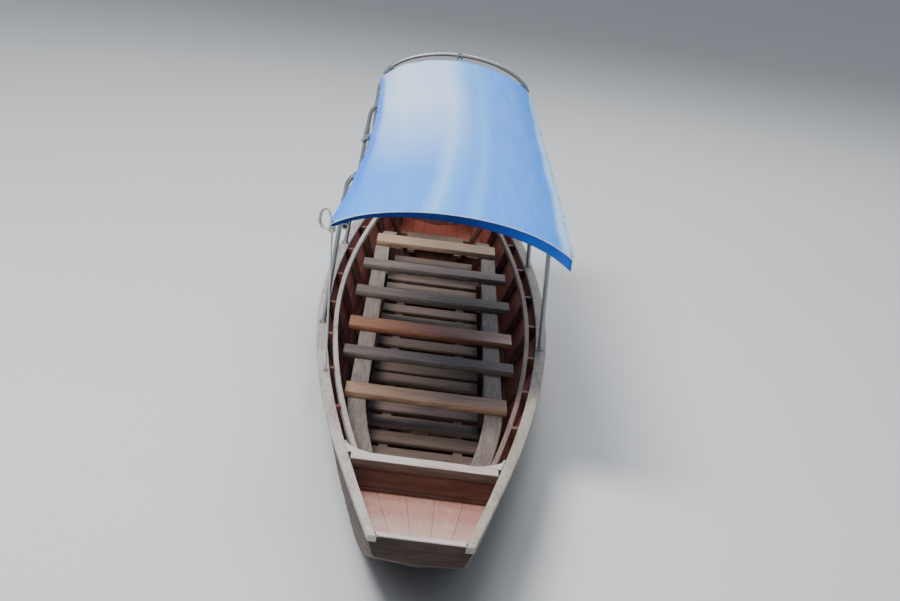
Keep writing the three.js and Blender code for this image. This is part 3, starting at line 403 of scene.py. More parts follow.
def inside_coat(made, tint, patches, fibres):
    """The red-brown oil paint on the inner faces, scuffed to dark wood."""
    coat = made.mix(made.ramp(patches, (0.36, 0.0), (0.75, 0.6)), tint, dimmed(tint, 0.5))
    return made.mix(made.ramp(fibres, (0.3, 0.45), (0.48, 0.0)), coat, (0.055, 0.030, 0.022))


def woven(made, axes=(0, 1), under=None):
    """The fine weave of the canopy's cloth."""
    lines = [made.sum("SINE", made.sum("MULTIPLY", made.part(axis), 900.0)) for axis in axes]
    return made.bump(made.weigh(*((line, 1.0) for line in lines)), 0.0002, 0.25, under=under)


def wrinkled(made, scale, depth, strength):
    """Wrinkles that run along the sheet, under its weave."""
    wrinkles = made.grit(scale, 6.0, 0.6, at=made.stretched(0.5, 1.4, 1.4), bend=0.8)
    return woven(made, under=made.bump(wrinkles, depth, strength))


def sheet_underside(name):
    """Woven plastic sheet from below, in deeper blues that are painted shade: long soft streaks where it is
    pulled, and dust in the hollows.
    """
    made = Finish(name, rough=0.5, Sheen_Weight=0.15, Sheen_Roughness=0.4)
    streaks = made.grit(2.1, 5.0, 0.55, at=made.stretched(0.22, 2.6, 2.6), bend=0.35)
    fine = made.grit(7.0, 6.0, 0.6, at=made.stretched(0.35, 3.2, 3.2))
    # The sheet's own blue, darkened as painted shade for the side seen from below.
    tones = (0.30, (0.03, 0.13, 0.52)), (0.50, (0.05, 0.20, 0.66)), (0.68, (0.10, 0.30, 0.78))
    colour = made.ramp(made.weigh((streaks, 0.75), (fine, 0.25)), *tones)
    colour = made.mix(made.ramp(made.grit(5.0, 8.0, 0.7), (0.52, 0.0), (0.78, 0.35)), colour,
                      (0.62, 0.66, 0.68))
    roughness = made.ramp(fine, (0.3, 0.4), (0.7, 0.62))
    return made.finish(colour=colour, rough=roughness, normal=wrinkled(made, 16.0, 0.010, 0.40))


# Bands across the sheet: its own deep blue, with paler bands that are painted highlight streaks along the
# arch, brightest at 0.565.
CLOTH_BANDS = (
    # share of the way from the port edge, colour
    (0.00, (0.50, 0.76, 1.00)),
    (0.05, (0.42, 0.70, 1.00)),
    (0.085, (0.015, 0.265, 0.98)),
    (0.30, (0.012, 0.25, 0.97)),
    (0.385, (0.018, 0.27, 0.98)),
    (0.42, (0.070, 0.38, 1.00)),
    (0.47, (0.018, 0.27, 0.98)),
    (0.53, (0.060, 0.36, 1.00)),
    (0.565, (0.19, 0.52, 1.00)),
    (0.62, (0.035, 0.30, 1.00)),
    (0.80, (0.060, 0.34, 1.00)),
    (0.925, (0.045, 0.30, 1.00)),
    (0.97, (0.015, 0.21, 0.93)),
)
# A painted highlight aft: how strong it is across the sheet, and its pale colour.
PAINTED_HIGHLIGHT_ACROSS = ((0.44, 0.04), (0.58, 0.75), (0.80, 1.0), (0.93, 0.8), (0.97, 0.1))
PAINTED_HIGHLIGHT = (0.62, 0.78, 1.00)


def canopy_cloth(name, deeper=0.0):
    """The sheet from above: its blue, with painted highlight streaks along the arch and a painted highlight
    that is palest aft to starboard.
    """
    made = Finish(name, rough=0.6, Specular_IOR_Level=0.15)
    flat = made.attribute("flat", "Vector")
    long_way = made.stretched(0.22, 2.4, 2.4)
    waver = made.sum("SUBTRACT", made.grit(1.3, 3.0, 0.5, at=long_way, bend=0.2), 0.5)
    place = made.weigh((made.part("Y", flat), 1.0), (waver, 0.06))
    fine = made.grit(6.0, 6.0, 0.6, at=long_way)
    colour = made.ramp(place, *CLOTH_BANDS)
    colour = made.mix(made.ramp(fine, (0.48, 0.0), (0.74, 0.45)), colour, (0.085, 0.40, 1.0))
    colour = made.mix(made.ramp(fine, (0.26, 0.40), (0.42, 0.0)), colour, (0.010, 0.20, 0.90))
    # Painted highlight, strongest aft and to starboard.
    aft = made.ramp(made.share(made.part("X", flat), 0.9, -1.0), (0.0, 0.0), (1.0, 0.95))
    highlight_share = made.sum("MULTIPLY", aft, made.ramp(place, *PAINTED_HIGHLIGHT_ACROSS))
    colour = made.mix(highlight_share, colour, PAINTED_HIGHLIGHT)
    colour = made.mix(made.ramp(made.grit(5.0, 8.0, 0.7), (0.56, 0.0), (0.82, 0.12)), colour,
                      (0.34, 0.46, 0.62))
    if deeper:
        colour = made.mix(deeper, colour, (0.020, 0.20, 0.85))
    return made.finish(colour=colour, normal=wrinkled(made, 14.0, 0.008, 0.35))


def valance_cloth(name):
    """The band at the front: deep blue cloth, painted dark as shade, and painted brighter at its port end as
    light shining through it.
    """
    made = Finish(name, rough=0.6, Specular_IOR_Level=0.2)
    # Painted shade to starboard and painted light through the cloth at the port end, by the band's place
    # across the boat.
    place = made.weigh((made.part("Y"), 1.0), (made.grit(3.0, 4.0, 0.5), 0.2))
    tones = (0.16, (0.004, 0.026, 0.17)), (0.36, (0.006, 0.060, 0.38)), (0.62, (0.018, 0.15, 0.78))
    shade = made.ramp(made.grit(26.0, 5.0, 0.6), (0.4, 0.0), (0.8, 0.5))
    return made.finish(colour=made.mix(shade, made.ramp(place, *tones), (0.010, 0.05, 0.26)),
                       normal=woven(made, axes=(1,)))


def metal(name, tint, rough=0.4, metallic=0.9, rust=0.35, rust_tint=(0.20, 0.075, 0.025), grain=30.0):
    """Bare or painted metal with rust that starts in spots and runs together."""
    made = Finish(name, rough=rough, metal=metallic)
    spots = made.grit(grain, 8.0, 0.72)
    broad = made.grit(4.0, 4.0, 0.6)
    edge = 0.86 - 0.5 * rust
    rusty = made.ramp(made.weigh((spots, 0.6), (broad, 0.5)),
                      (max(0.0, edge - 0.05), 0.0), (min(1.0, edge + 0.06), 1.0))
    clean = made.mix(made.ramp(broad, (0.3, 0.0), (0.75, 0.7)), tint, dimmed(tint, 0.55))
    mottled = made.mix(made.grit(90.0, 4.0, 0.6), dimmed(rust_tint, 0.45), dimmed(rust_tint, 1.5))
    roughness = made.mix(rusty, made.ramp(spots, (0.3, rough - 0.08), (0.7, rough + 0.12)),
                         (0.85, 0.85, 0.85))
    shine = made.sum("MULTIPLY", made.sum("SUBTRACT", 1.0, rusty), metallic)
    height = made.weigh((spots, 0.35), (rusty, 0.4))
    return made.finish(made.mix(rusty, clean, mottled), roughness, shine, made.bump(height, 0.0008, 0.5))


def casting(name, tint, oil, metallic=0.7):
    """Sand-cast alloy: a fine pebbled skin, darkened by oil in broad patches."""
    rough = 0.5
    made = Finish(name, rough=rough, metal=metallic)
    film = made.ramp(made.grit(9.0, 7.0, 0.7), (0.62 - 0.3 * oil, 0.0), (0.80, 0.85))
    colour = made.mix(made.grit(40.0, 5.0, 0.6), tint, dimmed(tint, 0.72))
    colour = made.mix(film, colour, (0.035, 0.028, 0.022))
    return made.finish(colour=colour, rough=made.ramp(film, (0.0, rough), (1.0, 0.28)),
                       normal=made.bump(made.grit(420.0, 3.0, 0.6), 0.0006, 0.35))


def moulded(name, tint, faded, rough=0.35, scuffs=0.4):
    """Moulded plastic or enamel, faded in broad patches and scuffed to a dull film."""
    made = Finish(name, rough=rough, Coat_Weight=0.15, Coat_Roughness=0.3)
    colour = made.mix(made.ramp(made.grit(6.0, 5.0, 0.6), (0.35, 0.0), (0.7, 1.0)), tint, faded)
    marks = made.ramp(made.grit(60.0, 8.0, 0.75, at=made.stretched(1, 2.2, 2.2)), (0.60, 0.0), (0.72, scuffs))
    colour = made.mix(marks, colour, (0.10, 0.09, 0.08))
    return made.finish(colour=colour, rough=made.ramp(marks, (0.0, rough), (1.0, min(1.0, rough + 0.35))),
                       normal=made.bump(made.grit(180.0, 3.0), 0.0003, 0.3))


def rope_fibre(name, tint, soiled):
    """Laid rope: fibres across the strands, soiled in places."""
    made = Finish(name, rough=0.85, Sheen_Weight=0.3)
    dirt = made.ramp(made.grit(14.0, 6.0, 0.7), (0.40, 0.0), (0.72, 0.9))
    fibres = made.bump(made.grit(800.0, 2.0), 0.0006, 0.6)
    return made.finish(colour=made.mix(dirt, tint, soiled), normal=fibres)


def rubber(name, tint=(0.022, 0.022, 0.024)):
    """Old black rubber, chalky in patches."""
    made = Finish(name, rough=0.75)
    chalk = made.ramp(made.grit(12.0, 7.0, 0.7), (0.45, 0.0), (0.8, 0.6))
    return made.finish(colour=made.mix(chalk, tint, (0.085, 0.082, 0.078)),
                       normal=made.bump(made.grit(300.0, 3.0), 0.0004, 0.4))


def pale_floor(name):
    made = Finish(name, rough=0.6)
    return made.finish(colour=made.mix(made.grit(0.6, 3.0), (0.62, 0.64, 0.66), (0.58, 0.60, 0.62)))


make_camera()
make_light()
FLOOR_GREY = pale_floor("pale_floor")

HULL = timber("hull_paint", (0.034, 0.022, 0.016), (0.11, 0.070, 0.050), paint=(0.032, 0.020, 0.016),
              kept=0.80, rough=0.62, gloss=0.3, stain=(-0.02, 0.075, (0.026, 0.032, 0.019)),
              inside=(0.30, 0.078, 0.054))
# Near-black for the heads' sides, darker than the hull: dark paint and painted shade.
HEAD_PAINT_AND_SHADE = timber("head_paint", (0.020, 0.015, 0.012), (0.075, 0.050, 0.038), grain="Y",
                    paint=(0.018, 0.014, 0.012), kept=0.86, gloss=0.25)
FRAMING = timber("framing_paint", (0.050, 0.022, 0.015), (0.20, 0.09, 0.06), grain="Z",
                 paint=(0.22, 0.062, 0.040), kept=0.6, rough=0.62)
INWALE_RED = timber("inwale_paint", (0.085, 0.045, 0.036), (0.30, 0.20, 0.165), paint=(0.19, 0.080, 0.068),
                    kept=0.74, rough=0.62)
BULKHEAD = timber("bulkhead_paint", (0.055, 0.022, 0.015), (0.165, 0.072, 0.050), grain="Y",
                  paint=(0.100, 0.025, 0.016), kept=0.62, soft=0.12, rough=0.6)
CAP = timber("cap_wood", (0.19, 0.155, 0.135), (0.48, 0.42, 0.38), paint=(0.48, 0.445, 0.43), soft=0.10,
             rough=0.7)
CAP_PORT = timber("port_cap_wood", (0.155, 0.122, 0.092), (0.40, 0.345, 0.275), paint=(0.39, 0.355, 0.305),
                  soft=0.10, rough=0.7)
CAP_CROSS = timber("beam_wood", (0.22, 0.15, 0.125), (0.54, 0.45, 0.41), grain="Y", paint=(0.60, 0.54, 0.51),
                   soft=0.09, rough=0.7)
# The outward end faces of the cross beams: a worn red-brown coat, kept dark also as painted shade.
BEAM_FACE = timber("beam_face", (0.050, 0.032, 0.026), (0.16, 0.105, 0.085), grain="Y",
                   paint=(0.115, 0.060, 0.048), kept=0.55, soft=0.12)
DECK = timber("deck_wood", (0.21, 0.096, 0.072), (0.47, 0.270, 0.220), paint=(0.36, 0.138, 0.103), soft=0.26,
              rough=0.75, patch=2.6, flecks=0.22, faded=(3.42, 4.00, (0.54, 0.39, 0.345)))
SEAT_RED = timber("seat_varnish", (0.095, 0.032, 0.014), (0.34, 0.135, 0.062), grain="Y", rough=0.42)
SEAT_TAN = timber("seat_tan", (0.165, 0.090, 0.050), (0.47, 0.295, 0.180), grain="Y", rough=0.6)
SEAT_GREY = timber("seat_grey", (0.060, 0.043, 0.034), (0.19, 0.15, 0.125), grain="Y", rough=0.7)
RAIL = timber("rail_wood", (0.085, 0.062, 0.050), (0.27, 0.215, 0.18), rough=0.7)
BOARD = timber("floor_wood", (0.050, 0.032, 0.023), (0.19, 0.125, 0.090), grain="Y", rough=0.75)

TARP = canopy_cloth("canopy_sheet")
TARP_UNDER = sheet_underside("canopy_underside")
TARP_MARGIN = canopy_cloth("canopy_margin", deeper=0.22)
VALANCE = valance_cloth("front_valance")
ROPE = rope_fibre("white_rope", (0.72, 0.71, 0.68), (0.34, 0.30, 0.25))
PIPING = rope_fibre("edge_piping", (0.60, 0.74, 0.95), (0.30, 0.48, 0.82))
TWINE = rope_fibre("lashing_twine", (0.10, 0.22, 0.36), (0.10, 0.10, 0.10))

PIPE_STEEL = metal("pipe_steel", (0.36, 0.38, 0.40), rough=0.38, metallic=0.85, rust=0.30, grain=45.0)
NAIL = metal("nail_iron", (0.20, 0.17, 0.15), rough=0.6, metallic=0.6, rust=0.75, grain=120.0)
STEEL_DARK = metal("painted_steel", (0.060, 0.062, 0.066), rough=0.45, metallic=0.55, rust=0.42, grain=38.0)
TAIL_STEEL = metal("tail_steel", (0.105, 0.105, 0.110), rough=0.48, metallic=0.6, rust=0.52, grain=26.0)
BOLT_STEEL = metal("bolt_steel", (0.42, 0.41, 0.39), rough=0.38, rust=0.40, grain=90.0)
WELD_STEEL = metal("weld_steel", (0.16, 0.155, 0.15), rough=0.5, metallic=0.8, rust=0.45, grain=140.0)
RUSTED = metal("silencer_steel", (0.20, 0.17, 0.15), rough=0.6, metallic=0.6, rust=0.80, grain=22.0)
BRASS = metal("brass", (0.50, 0.34, 0.12), rough=0.34, metallic=0.95, rust=0.42,
              rust_tint=(0.070, 0.085, 0.050), grain=55.0)
CAST_ALLOY = casting("cast_alloy", (0.44, 0.44, 0.43), oil=0.35)
CAST_BLACK = casting("black_casting", (0.075, 0.075, 0.078), oil=0.45, metallic=0.3)
COVER_RED = moulded("starter_red", (0.52, 0.030, 0.022), (0.60, 0.12, 0.09), rough=0.34, scuffs=0.5)
TANK_WHITE = moulded("tank_white", (0.78, 0.77, 0.72), (0.66, 0.63, 0.55), rough=0.42, scuffs=0.45)
PLASTIC_BLACK = moulded("black_plastic", (0.020, 0.020, 0.021), (0.055, 0.055, 0.056), rough=0.48, scuffs=0.3)
SPARK_WHITE = moulded("plug_ceramic", (0.80, 0.79, 0.76), (0.62, 0.58, 0.52), rough=0.22, scuffs=0.5)
RUBBER = rubber("black_rubber")
CAULK = rubber("seam_resin", (0.055, 0.030, 0.018))


# Meshes


def link(name, made, finish, slot, replaces=(), body="hull", place=None):
    """A finished piece: its mesh in place, its material, and the body that it rides on. Its slot is not used.
    """
    mesh = to_mesh(made) if isinstance(made, bmesh.types.BMesh) else made
    mesh.name = name
    if place is not None:
        mesh.transform(place)
    if finish is not None:
        mesh.materials.clear()
        mesh.materials.append(finish)
    piece = place_in_scene(name, mesh)
    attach(piece, body)
    if replaces:
        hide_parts(*replaces)
    return piece


def shaded(mesh, smooth_under=40.0):
    mesh.shade_smooth()
    mesh.set_sharp_from_angle(angle=math.radians(smooth_under))
    return mesh


def to_mesh(bm, smooth_under=40.0, flip_check=True):
    if flip_check:
        bmesh.ops.recalc_face_normals(bm, faces=bm.faces)
    mesh = bpy.data.meshes.new("piece")
    bm.to_mesh(mesh)
    bm.free()
    return shaded(mesh, smooth_under)


def joined(meshes):
    """One mesh out of several."""
    bm = bmesh.new()
    for mesh in meshes:
        bm.from_mesh(mesh)
    return to_mesh(bm)


def evaluated_mesh(holder):
    """The plain mesh that an object's modifiers make. The object goes."""
    depsgraph = bpy.context.evaluated_depsgraph_get()
    evaluated = holder.evaluated_get(depsgraph)
    mesh = bpy.data.meshes.new_from_object(evaluated, preserve_all_data_layers=True, depsgraph=depsgraph)
    holder.modifiers.clear()
    bpy.data.objects.remove(holder)
    return mesh


def two_tone(mesh, finishes, on_second):
    """Gives a mesh two materials. on_second says of each face whether it has the second."""
    for finish in finishes:
        mesh.materials.append(finish)
    for face, second in zip(mesh.polygons, on_second):
        face.material_index = int(second)
    return mesh


def lay_rings(bm, rings, tint=0.5, inside=None, closed_ends=True):
    """Joins closed rings of points into a skin. inside is the inner coat's share at each point of a ring."""
    layers = bm.verts.layers.float
    tints = layers.get("board_tint") or layers.new("board_tint")
    coats = layers.get("inside") or layers.new("inside")
    rows = []
    for ring in rings:
        row = [bm.verts.new(point) for point in ring]
        for vert, coat in zip(row, inside or [0.0] * len(row)):
            vert[tints], vert[coats] = tint, coat
        rows.append(row)
    for before, after in zip(rows, rows[1:]):
        for j in range(len(before)):
            bm.faces.new((before[j - 1], before[j], after[j], after[j - 1]))
    if closed_ends:
        bm.faces.new(list(reversed(rows[0])))
        bm.faces.new(rows[-1])


def rounded(corners, radius, steps=2):
    """The outline through the corners, each turned by a short curve."""
    outline = []
    for index, corner in enumerate(corners):
        ends = []
        for other in (corners[index - 1], corners[(index + 1) % len(corners)]):
            away = other - corner
            ends.append(corner + away.normalized() * min(radius, away.length * 0.45))
        for step in range(steps + 1):
            share = step / steps
            outline.append(ends[0].lerp(corner, share).lerp(corner.lerp(ends[1], share), share))
    return outline


def square(x, y_first, y_last, z_low, z_high):
    """A square section across the boat."""
    corners = ((y_first, z_low), (y_first, z_high), (y_last, z_high), (y_last, z_low))
    return [Vector((x, y, z)) for y, z in corners]


def lay_board(bm, xs, section, edge, steps, tint):
    """A board along the boat with eased edges, from its section at each place."""
    lay_rings(bm, [rounded(section(x), edge, steps) for x in xs], tint)


def stations(node):
    """The corner points of a lofted node, by their place along the boat."""
    found = {}
    for vert in NODES[node].data.vertices:
        at = found.setdefault(round(vert.co.x, 3), {})
        at[(round(vert.co.y, 4), round(vert.co.z, 4))] = vert.co.copy()
    return [list(found[x].values()) for x in sorted(found)]


def board_corners(points):
    """The corners of a plank's section: outer low, outer high, inner high, inner low."""
    by_height = sorted(points, key=lambda p: p.z)
    low = sorted(by_height[:2], key=lambda p: -abs(p.y))
    high = sorted(by_height[2:], key=lambda p: -abs(p.y))
    return [low[0], high[0], high[1], low[1]]


def bottom_corners(points):
    """Section of the bottom: keel, chine and their inner points, to port; then the same to starboard."""
    by_height = sorted(points, key=lambda p: p.z)
    keel = [p for p in by_height if abs(p.y) < 0.002]
    port = [p for p in by_height if p.y > 0.002]
    starboard = [p for p in by_height if p.y < -0.002]
    return [*keel[:2], *port[:2], *starboard[:2]]


def curve(a, b, lean_a, lean_b, t):
    """A point between a and b on the curve that leaves a and reaches b with the given leans."""
    t2, t3 = t * t, t * t * t
    place = a * (2 * t3 - 3 * t2 + 1) + b * (3 * t2 - 2 * t3)
    return place + lean_a * (t3 - 2 * t2 + t) + lean_b * (t3 - t2)


def neighbours(points, i):
    return points[max(i - 1, 0)], points[i], points[i + 1], points[min(i + 2, len(points) - 1)]


class Line:
    """A smooth line through points given in order of x."""

    def __init__(self, points):
        self.points = points

    def at(self, x):
        i = 0
        while i < len(self.points) - 2 and self.points[i + 1].x < x:
            i += 1
        before, a, b, after = neighbours(self.points, i)
        span = b.x - a.x
        lean_a = (b - before) * (span / (b.x - before.x))
        lean_b = (after - a) * (span / (after.x - a.x))
        place = curve(a, b, lean_a, lean_b, (x - a.x) / span)
        return Vector((x, place.y, place.z))


def through(points, steps):
    """A smooth line through points, with a few steps between each two."""
    points = [Vector(point) for point in points]
    line = []
    for i in range(len(points) - 1):
        before, a, b, after = neighbours(points, i)
        line += [curve(a, b, (b - before) * 0.5, (after - a) * 0.5, step / steps) for step in range(steps)]
    return line + [points[-1]]


def corner_lines(node, pick):
    rows = [pick(points) for points in stations(node)]
    return [Line([row[k] for row in rows]) for k in range(len(rows[0]))]


# Geometry Nodes


class Tree(NodeBuilder):
    """A Geometry Nodes tree being built, with named inputs for its sizes."""

    KINDS = {float: "NodeSocketFloat", int: "NodeSocketInt"}

    def __init__(self, name, **sizes):
        super().__init__(bpy.data.node_groups.new(name, "GeometryNodeTree"), "GeometryNode")
        self.inputs = {}
        self.socket("Carrier", "NodeSocketGeometry")
        for label, value in sizes.items():
            self.socket(label, self.KINDS[type(value)], value)
        self.socket("Finish", "NodeSocketMaterial")
        self.network.interface.new_socket("Geometry", in_out="OUTPUT", socket_type="NodeSocketGeometry")
        self.start = self.network.nodes.new("NodeGroupInput")
        self.carrier = self.start.outputs["Carrier"]

    def socket(self, label, kind, value=None):
        made = self.network.interface.new_socket(label, in_out="INPUT", socket_type=kind)
        if value is not None:
            made.default_value = value
        self.inputs[label] = made.identifier

    def size(self, label, times=1.0):
        value = self.start.outputs[label]
        return value if times == 1.0 else self.sum("MULTIPLY", value, times)

    def xyz(self, **parts):
        return self.node("ShaderNodeCombineXYZ", **parts)

    def named(self, name, kind="FLOAT"):
        return self.add("InputNamedAttribute", {"data_type": kind}, Name=name)

    def moved(self, shape, **how):
        return self.add("Transform", Geometry=shape, **how)

    def ring(self, radius, sides):
        return self.add("CurvePrimitiveCircle", Resolution=sides, Radius=radius)

    def line_along(self, direction, long):
        return self.add("CurvePrimitiveLine", {"mode": "DIRECTION"}, Direction=direction, Length=long)

    def outline(self, wide, high, corner, steps):
        """A rectangle with round corners."""
        sharp = self.add("CurvePrimitiveQuadrilateral", Width=wide, Height=high)
        return self.add("FilletCurve", {"mode": "POLY"}, Curve=sharp, Count=steps, Radius=corner)

    def skin(self, curve, outline):
        return self.add("CurveToMesh", Curve=curve, Profile_Curve=outline, Fill_Caps=True)

    def carried_curve(self, step=None):
        """The carrier's lines as curves, with points a step apart."""
        curve = self.add("MeshToCurve", Mesh=self.carrier)
        if step is None:
            return curve
        return self.add("ResampleCurve", {"mode": "LENGTH"}, Curve=curve, Length=step)

    def spun(self):
        """The turn that stands a shape along its point's facing, spun about it."""
        turn = self.node("FunctionNodeEulerToRotation", Euler=self.xyz(Z=self.named("spin")))
        towards = self.named("facing", "FLOAT_VECTOR")
        return self.node("FunctionNodeAlignRotationToVector", {"axis": "Z"}, Rotation=turn, Vector=towards)

    def laid(self, along=None):
        """The turn that lays a shape with its X along the line and its Z along the point's facing."""
        along = along or self.named("along", "FLOAT_VECTOR")
        facing = self.named("facing", "FLOAT_VECTOR")
        axes = {"primary_axis": "X", "secondary_axis": "Z"}
        return self.node("FunctionNodeAxesToRotation", axes, Primary_Axis=along, Secondary_Axis=facing)

    def copies(self, points, shape, **how):
        return self.add("InstanceOnPoints", Points=points, Instance=shape, **how)

    def end(self, geometry):
        geometry = self.add("RealizeInstances", Geometry=geometry)
        geometry = self.add("SetMaterial", Geometry=geometry, Material=self.size("Finish"))
        output = self.network.nodes.new("NodeGroupOutput")
        self.network.links.new(geometry, output.inputs[0])
        return self

    def end_on_points(self, shape, turn):
        return self.end(self.copies(self.carrier, shape, Rotation=turn))


def domed_heads():
    """Nail and rivet heads: a low dome on each point."""
    tree = Tree("domed_heads", Radius=0.004, Height=0.0015, Sides=8)
    dome = tree.add("MeshUVSphere", Segments=tree.size("Sides"), Rings=5, Radius=1.0)
    scale = tree.xyz(X=tree.size("Radius"), Y=tree.size("Radius"), Z=tree.size("Height"))
    return tree.end_on_points(tree.moved(dome, Scale=scale), tree.spun())


def bolts():
    """Hexagon heads with a chamfer, each on a washer, on each point."""
    tree = Tree("bolts", Radius=0.008, Height=0.006)
    radius, height = tree.size("Radius"), tree.size("Height")
    washer = tree.add("MeshCylinder", Vertices=16, Radius=tree.size("Radius", 1.35),
                      Depth=tree.size("Height", 0.4))
    head = tree.add("MeshCylinder", Vertices=6, Radius=radius, Depth=height)
    head = tree.moved(head, Translation=tree.xyz(Z=tree.size("Height", 0.5)))
    top = tree.add("MeshCone", Vertices=6, Radius_Top=tree.size("Radius", 0.8), Radius_Bottom=radius,
                   Depth=tree.size("Height", 0.3))
    top = tree.moved(top, Translation=tree.xyz(Z=tree.size("Height", 0.99)))
    return tree.end_on_points(tree.add("JoinGeometry", Geometry=[washer, head, top]), tree.spun())


def tubes():
    """Round bar or tube along each line."""
    tree = Tree("tubes", Radius=0.012, Sides=14)
    return tree.end(tree.skin(tree.carried_curve(), tree.ring(tree.size("Radius"), tree.size("Sides"))))


def laid_rope():
    """Three-strand rope along each line: a section of three lobes that turns as it goes."""
    tree = Tree("laid_rope", Radius=0.004, Lay=0.03, Step=0.004)
    length = tree.add("SplineParameter", out=1)
    turn = tree.sum("MULTIPLY", tree.sum("DIVIDE", length, tree.size("Lay")), math.tau)
    curve = tree.add("SetCurveTilt", Curve=tree.carried_curve(tree.size("Step")), Tilt=turn)
    sides = 12
    lobe = tree.sum("MULTIPLY", tree.add("InputIndex"), math.tau / sides * 1.5)
    lobe = tree.sum("ABSOLUTE", tree.sum("SINE", lobe, 0.0), 0.0)
    reach = tree.sum("ADD", tree.sum("MULTIPLY", lobe, 0.34), 0.66)
    place = tree.sum("MULTIPLY", tree.add("InputPosition"), reach, "ShaderNodeVectorMath")
    ring = tree.add("SetPosition", Geometry=tree.ring(tree.size("Radius"), sides), Position=place)
    return tree.end(tree.skin(curve, ring))


def lashings():
    """Crossed turns of cord that bind a rail under a hoop, on each point. facing is off the arch."""
    tree = Tree("lashings", Pipe=0.012, Cord=0.0016, Turns=5)
    high, step = tree.size("Pipe", 2.15), tree.size("Cord", 2.0)
    loop = tree.moved(tree.ring(1.0, 18), Scale=tree.xyz(X=tree.size("Pipe", 1.62), Y=high, Z=1.0))
    loop = tree.moved(loop, Rotation=(math.pi / 2, 0.0, 0.0))
    gaps = tree.sum("SUBTRACT", tree.size("Turns"), 1.0)
    spread = tree.sum("MULTIPLY", step, tree.sum("MULTIPLY", gaps, -0.5))
    turns = tree.add("MeshLine", Count=tree.size("Turns"), Start_Location=tree.xyz(Y=spread),
                     Offset=tree.xyz(Y=step))
    turns = tree.add("RealizeInstances", Geometry=tree.copies(turns, loop))
    # Each turn leans, so that it clears the hoop at its top and the rail at its foot
    position = tree.add("InputPosition")
    y, z = (tree.node("ShaderNodeSeparateXYZ", out=axis, Vector=position) for axis in ("Y", "Z"))
    lean = tree.sum("DIVIDE", tree.sum("MULTIPLY", y, z), high)
    turns = tree.add("SetPosition", Geometry=turns, Offset=tree.xyz(X=lean))
    quarter = math.pi / 4
    one_way = tree.moved(turns, Rotation=(0.0, 0.0, quarter))
    other_way = tree.moved(tree.moved(turns, Scale=(1.0, -1.0, 1.0)), Rotation=(0.0, 0.0, -quarter))
    both = tree.add("JoinGeometry", Geometry=[one_way, other_way])
    bound = tree.add("RealizeInstances", Geometry=tree.copies(tree.carrier, both, Rotation=tree.laid()))
    return tree.end(tree.skin(bound, tree.ring(tree.size("Cord"), 6)))


def beads():
    """Stitches, weld beads or like small crowned pieces, set evenly along each line."""
    tree = Tree("beads", Spacing=0.01, Long=0.007, Wide=0.0012, High=0.0008)
    curve = tree.carried_curve(tree.size("Spacing"))
    scale = tree.xyz(X=tree.size("Long"), Y=tree.size("Wide"), Z=tree.size("High", 2.0))
    bead = tree.moved(tree.add("MeshUVSphere", Segments=8, Rings=4, Radius=0.5), Scale=scale)
    return tree.end(tree.copies(curve, bead, Rotation=tree.laid(tree.add("InputTangent"))))


def rings():
    """A ring of round wire on each point: eyelets, clamps and the ribs of a grip."""
    tree = Tree("rings", Radius=0.008, Wire=0.0015, Steps=16, Sides=6)
    circle = tree.ring(tree.size("Radius"), tree.size("Steps"))
    return tree.end_on_points(tree.skin(circle, tree.ring(tree.size("Wire"), tree.size("Sides"))),
                              tree.spun())


def bars():
    """A small bar with rounded edges on each point, along its line: louvres, ribs and teeth."""
    tree = Tree("bars", Long=0.03, Wide=0.006, High=0.004)
    long, wide, high = (tree.size(label) for label in ("Long", "Wide", "High"))
    line = tree.moved(tree.line_along((1.0, 0.0, 0.0), long),
                      Translation=tree.xyz(X=tree.sum("MULTIPLY", long, -0.5)))
    corner = tree.sum("MULTIPLY", tree.sum("MINIMUM", wide, high), 0.25)
    return tree.end_on_points(tree.skin(line, tree.outline(wide, high, corner, 1)), tree.laid())


def slats():
    """Floor boards across the boat, one on each point, as long as the point's reach, with hand-sawn edges."""
    tree = Tree("slats", Wide=0.165, Thick=0.018, Corner=0.004, Waver=0.002)
    line = tree.add("CurvePrimitiveLine", Start=(0.0, -1.0, 0.0), End=(0.0, 1.0, 0.0))
    boards = tree.copies(tree.carrier, line, Scale=tree.xyz(X=1.0, Y=tree.named("reach"), Z=1.0))
    boards = tree.add("ResampleCurve", Curve=tree.add("RealizeInstances", Geometry=boards), Count=9)
    boards = tree.skin(boards, tree.outline(tree.size("Wide"), tree.size("Thick"), tree.size("Corner"), 2))
    drift = tree.node("ShaderNodeTexNoise", out=1, Scale=4.0, Detail=2.0)
    drift = tree.sum("SUBTRACT", drift, (0.5, 0.5, 0.5), "ShaderNodeVectorMath")
    waver = tree.xyz(X=tree.size("Waver", 2.0), Y=tree.size("Waver", 2.0), Z=0.0)
    drift = tree.sum("MULTIPLY", drift, waver, "ShaderNodeVectorMath")
    return tree.end(tree.add("SetPosition", Geometry=boards, Offset=drift))


def fin_stack():
    """Cooling fins: plates with round corners, one above the other from each point, along its facing."""
    tree = Tree("fin_stack", Count=6, Pitch=0.013, Thick=0.0035, Long=0.128, Wide=0.124, Corner=0.016)
    stack = tree.add("MeshLine", Count=tree.size("Count"), Offset=tree.xyz(Z=tree.size("Pitch")))
    outline = tree.outline(tree.size("Long"), tree.size("Wide"), tree.size("Corner"), 4)
    fin = tree.skin(tree.line_along((0.0, 0.0, 1.0), tree.size("Thick")), outline)
    return tree.end_on_points(tree.copies(stack, fin), tree.spun())


HEADS, BOLTS, TUBES, LAID_ROPE = domed_heads(), bolts(), tubes(), laid_rope()
LASHINGS, BEADS, RINGS, BARS, SLATS, FINS = lashings(), beads(), rings(), bars(), slats(), fin_stack()


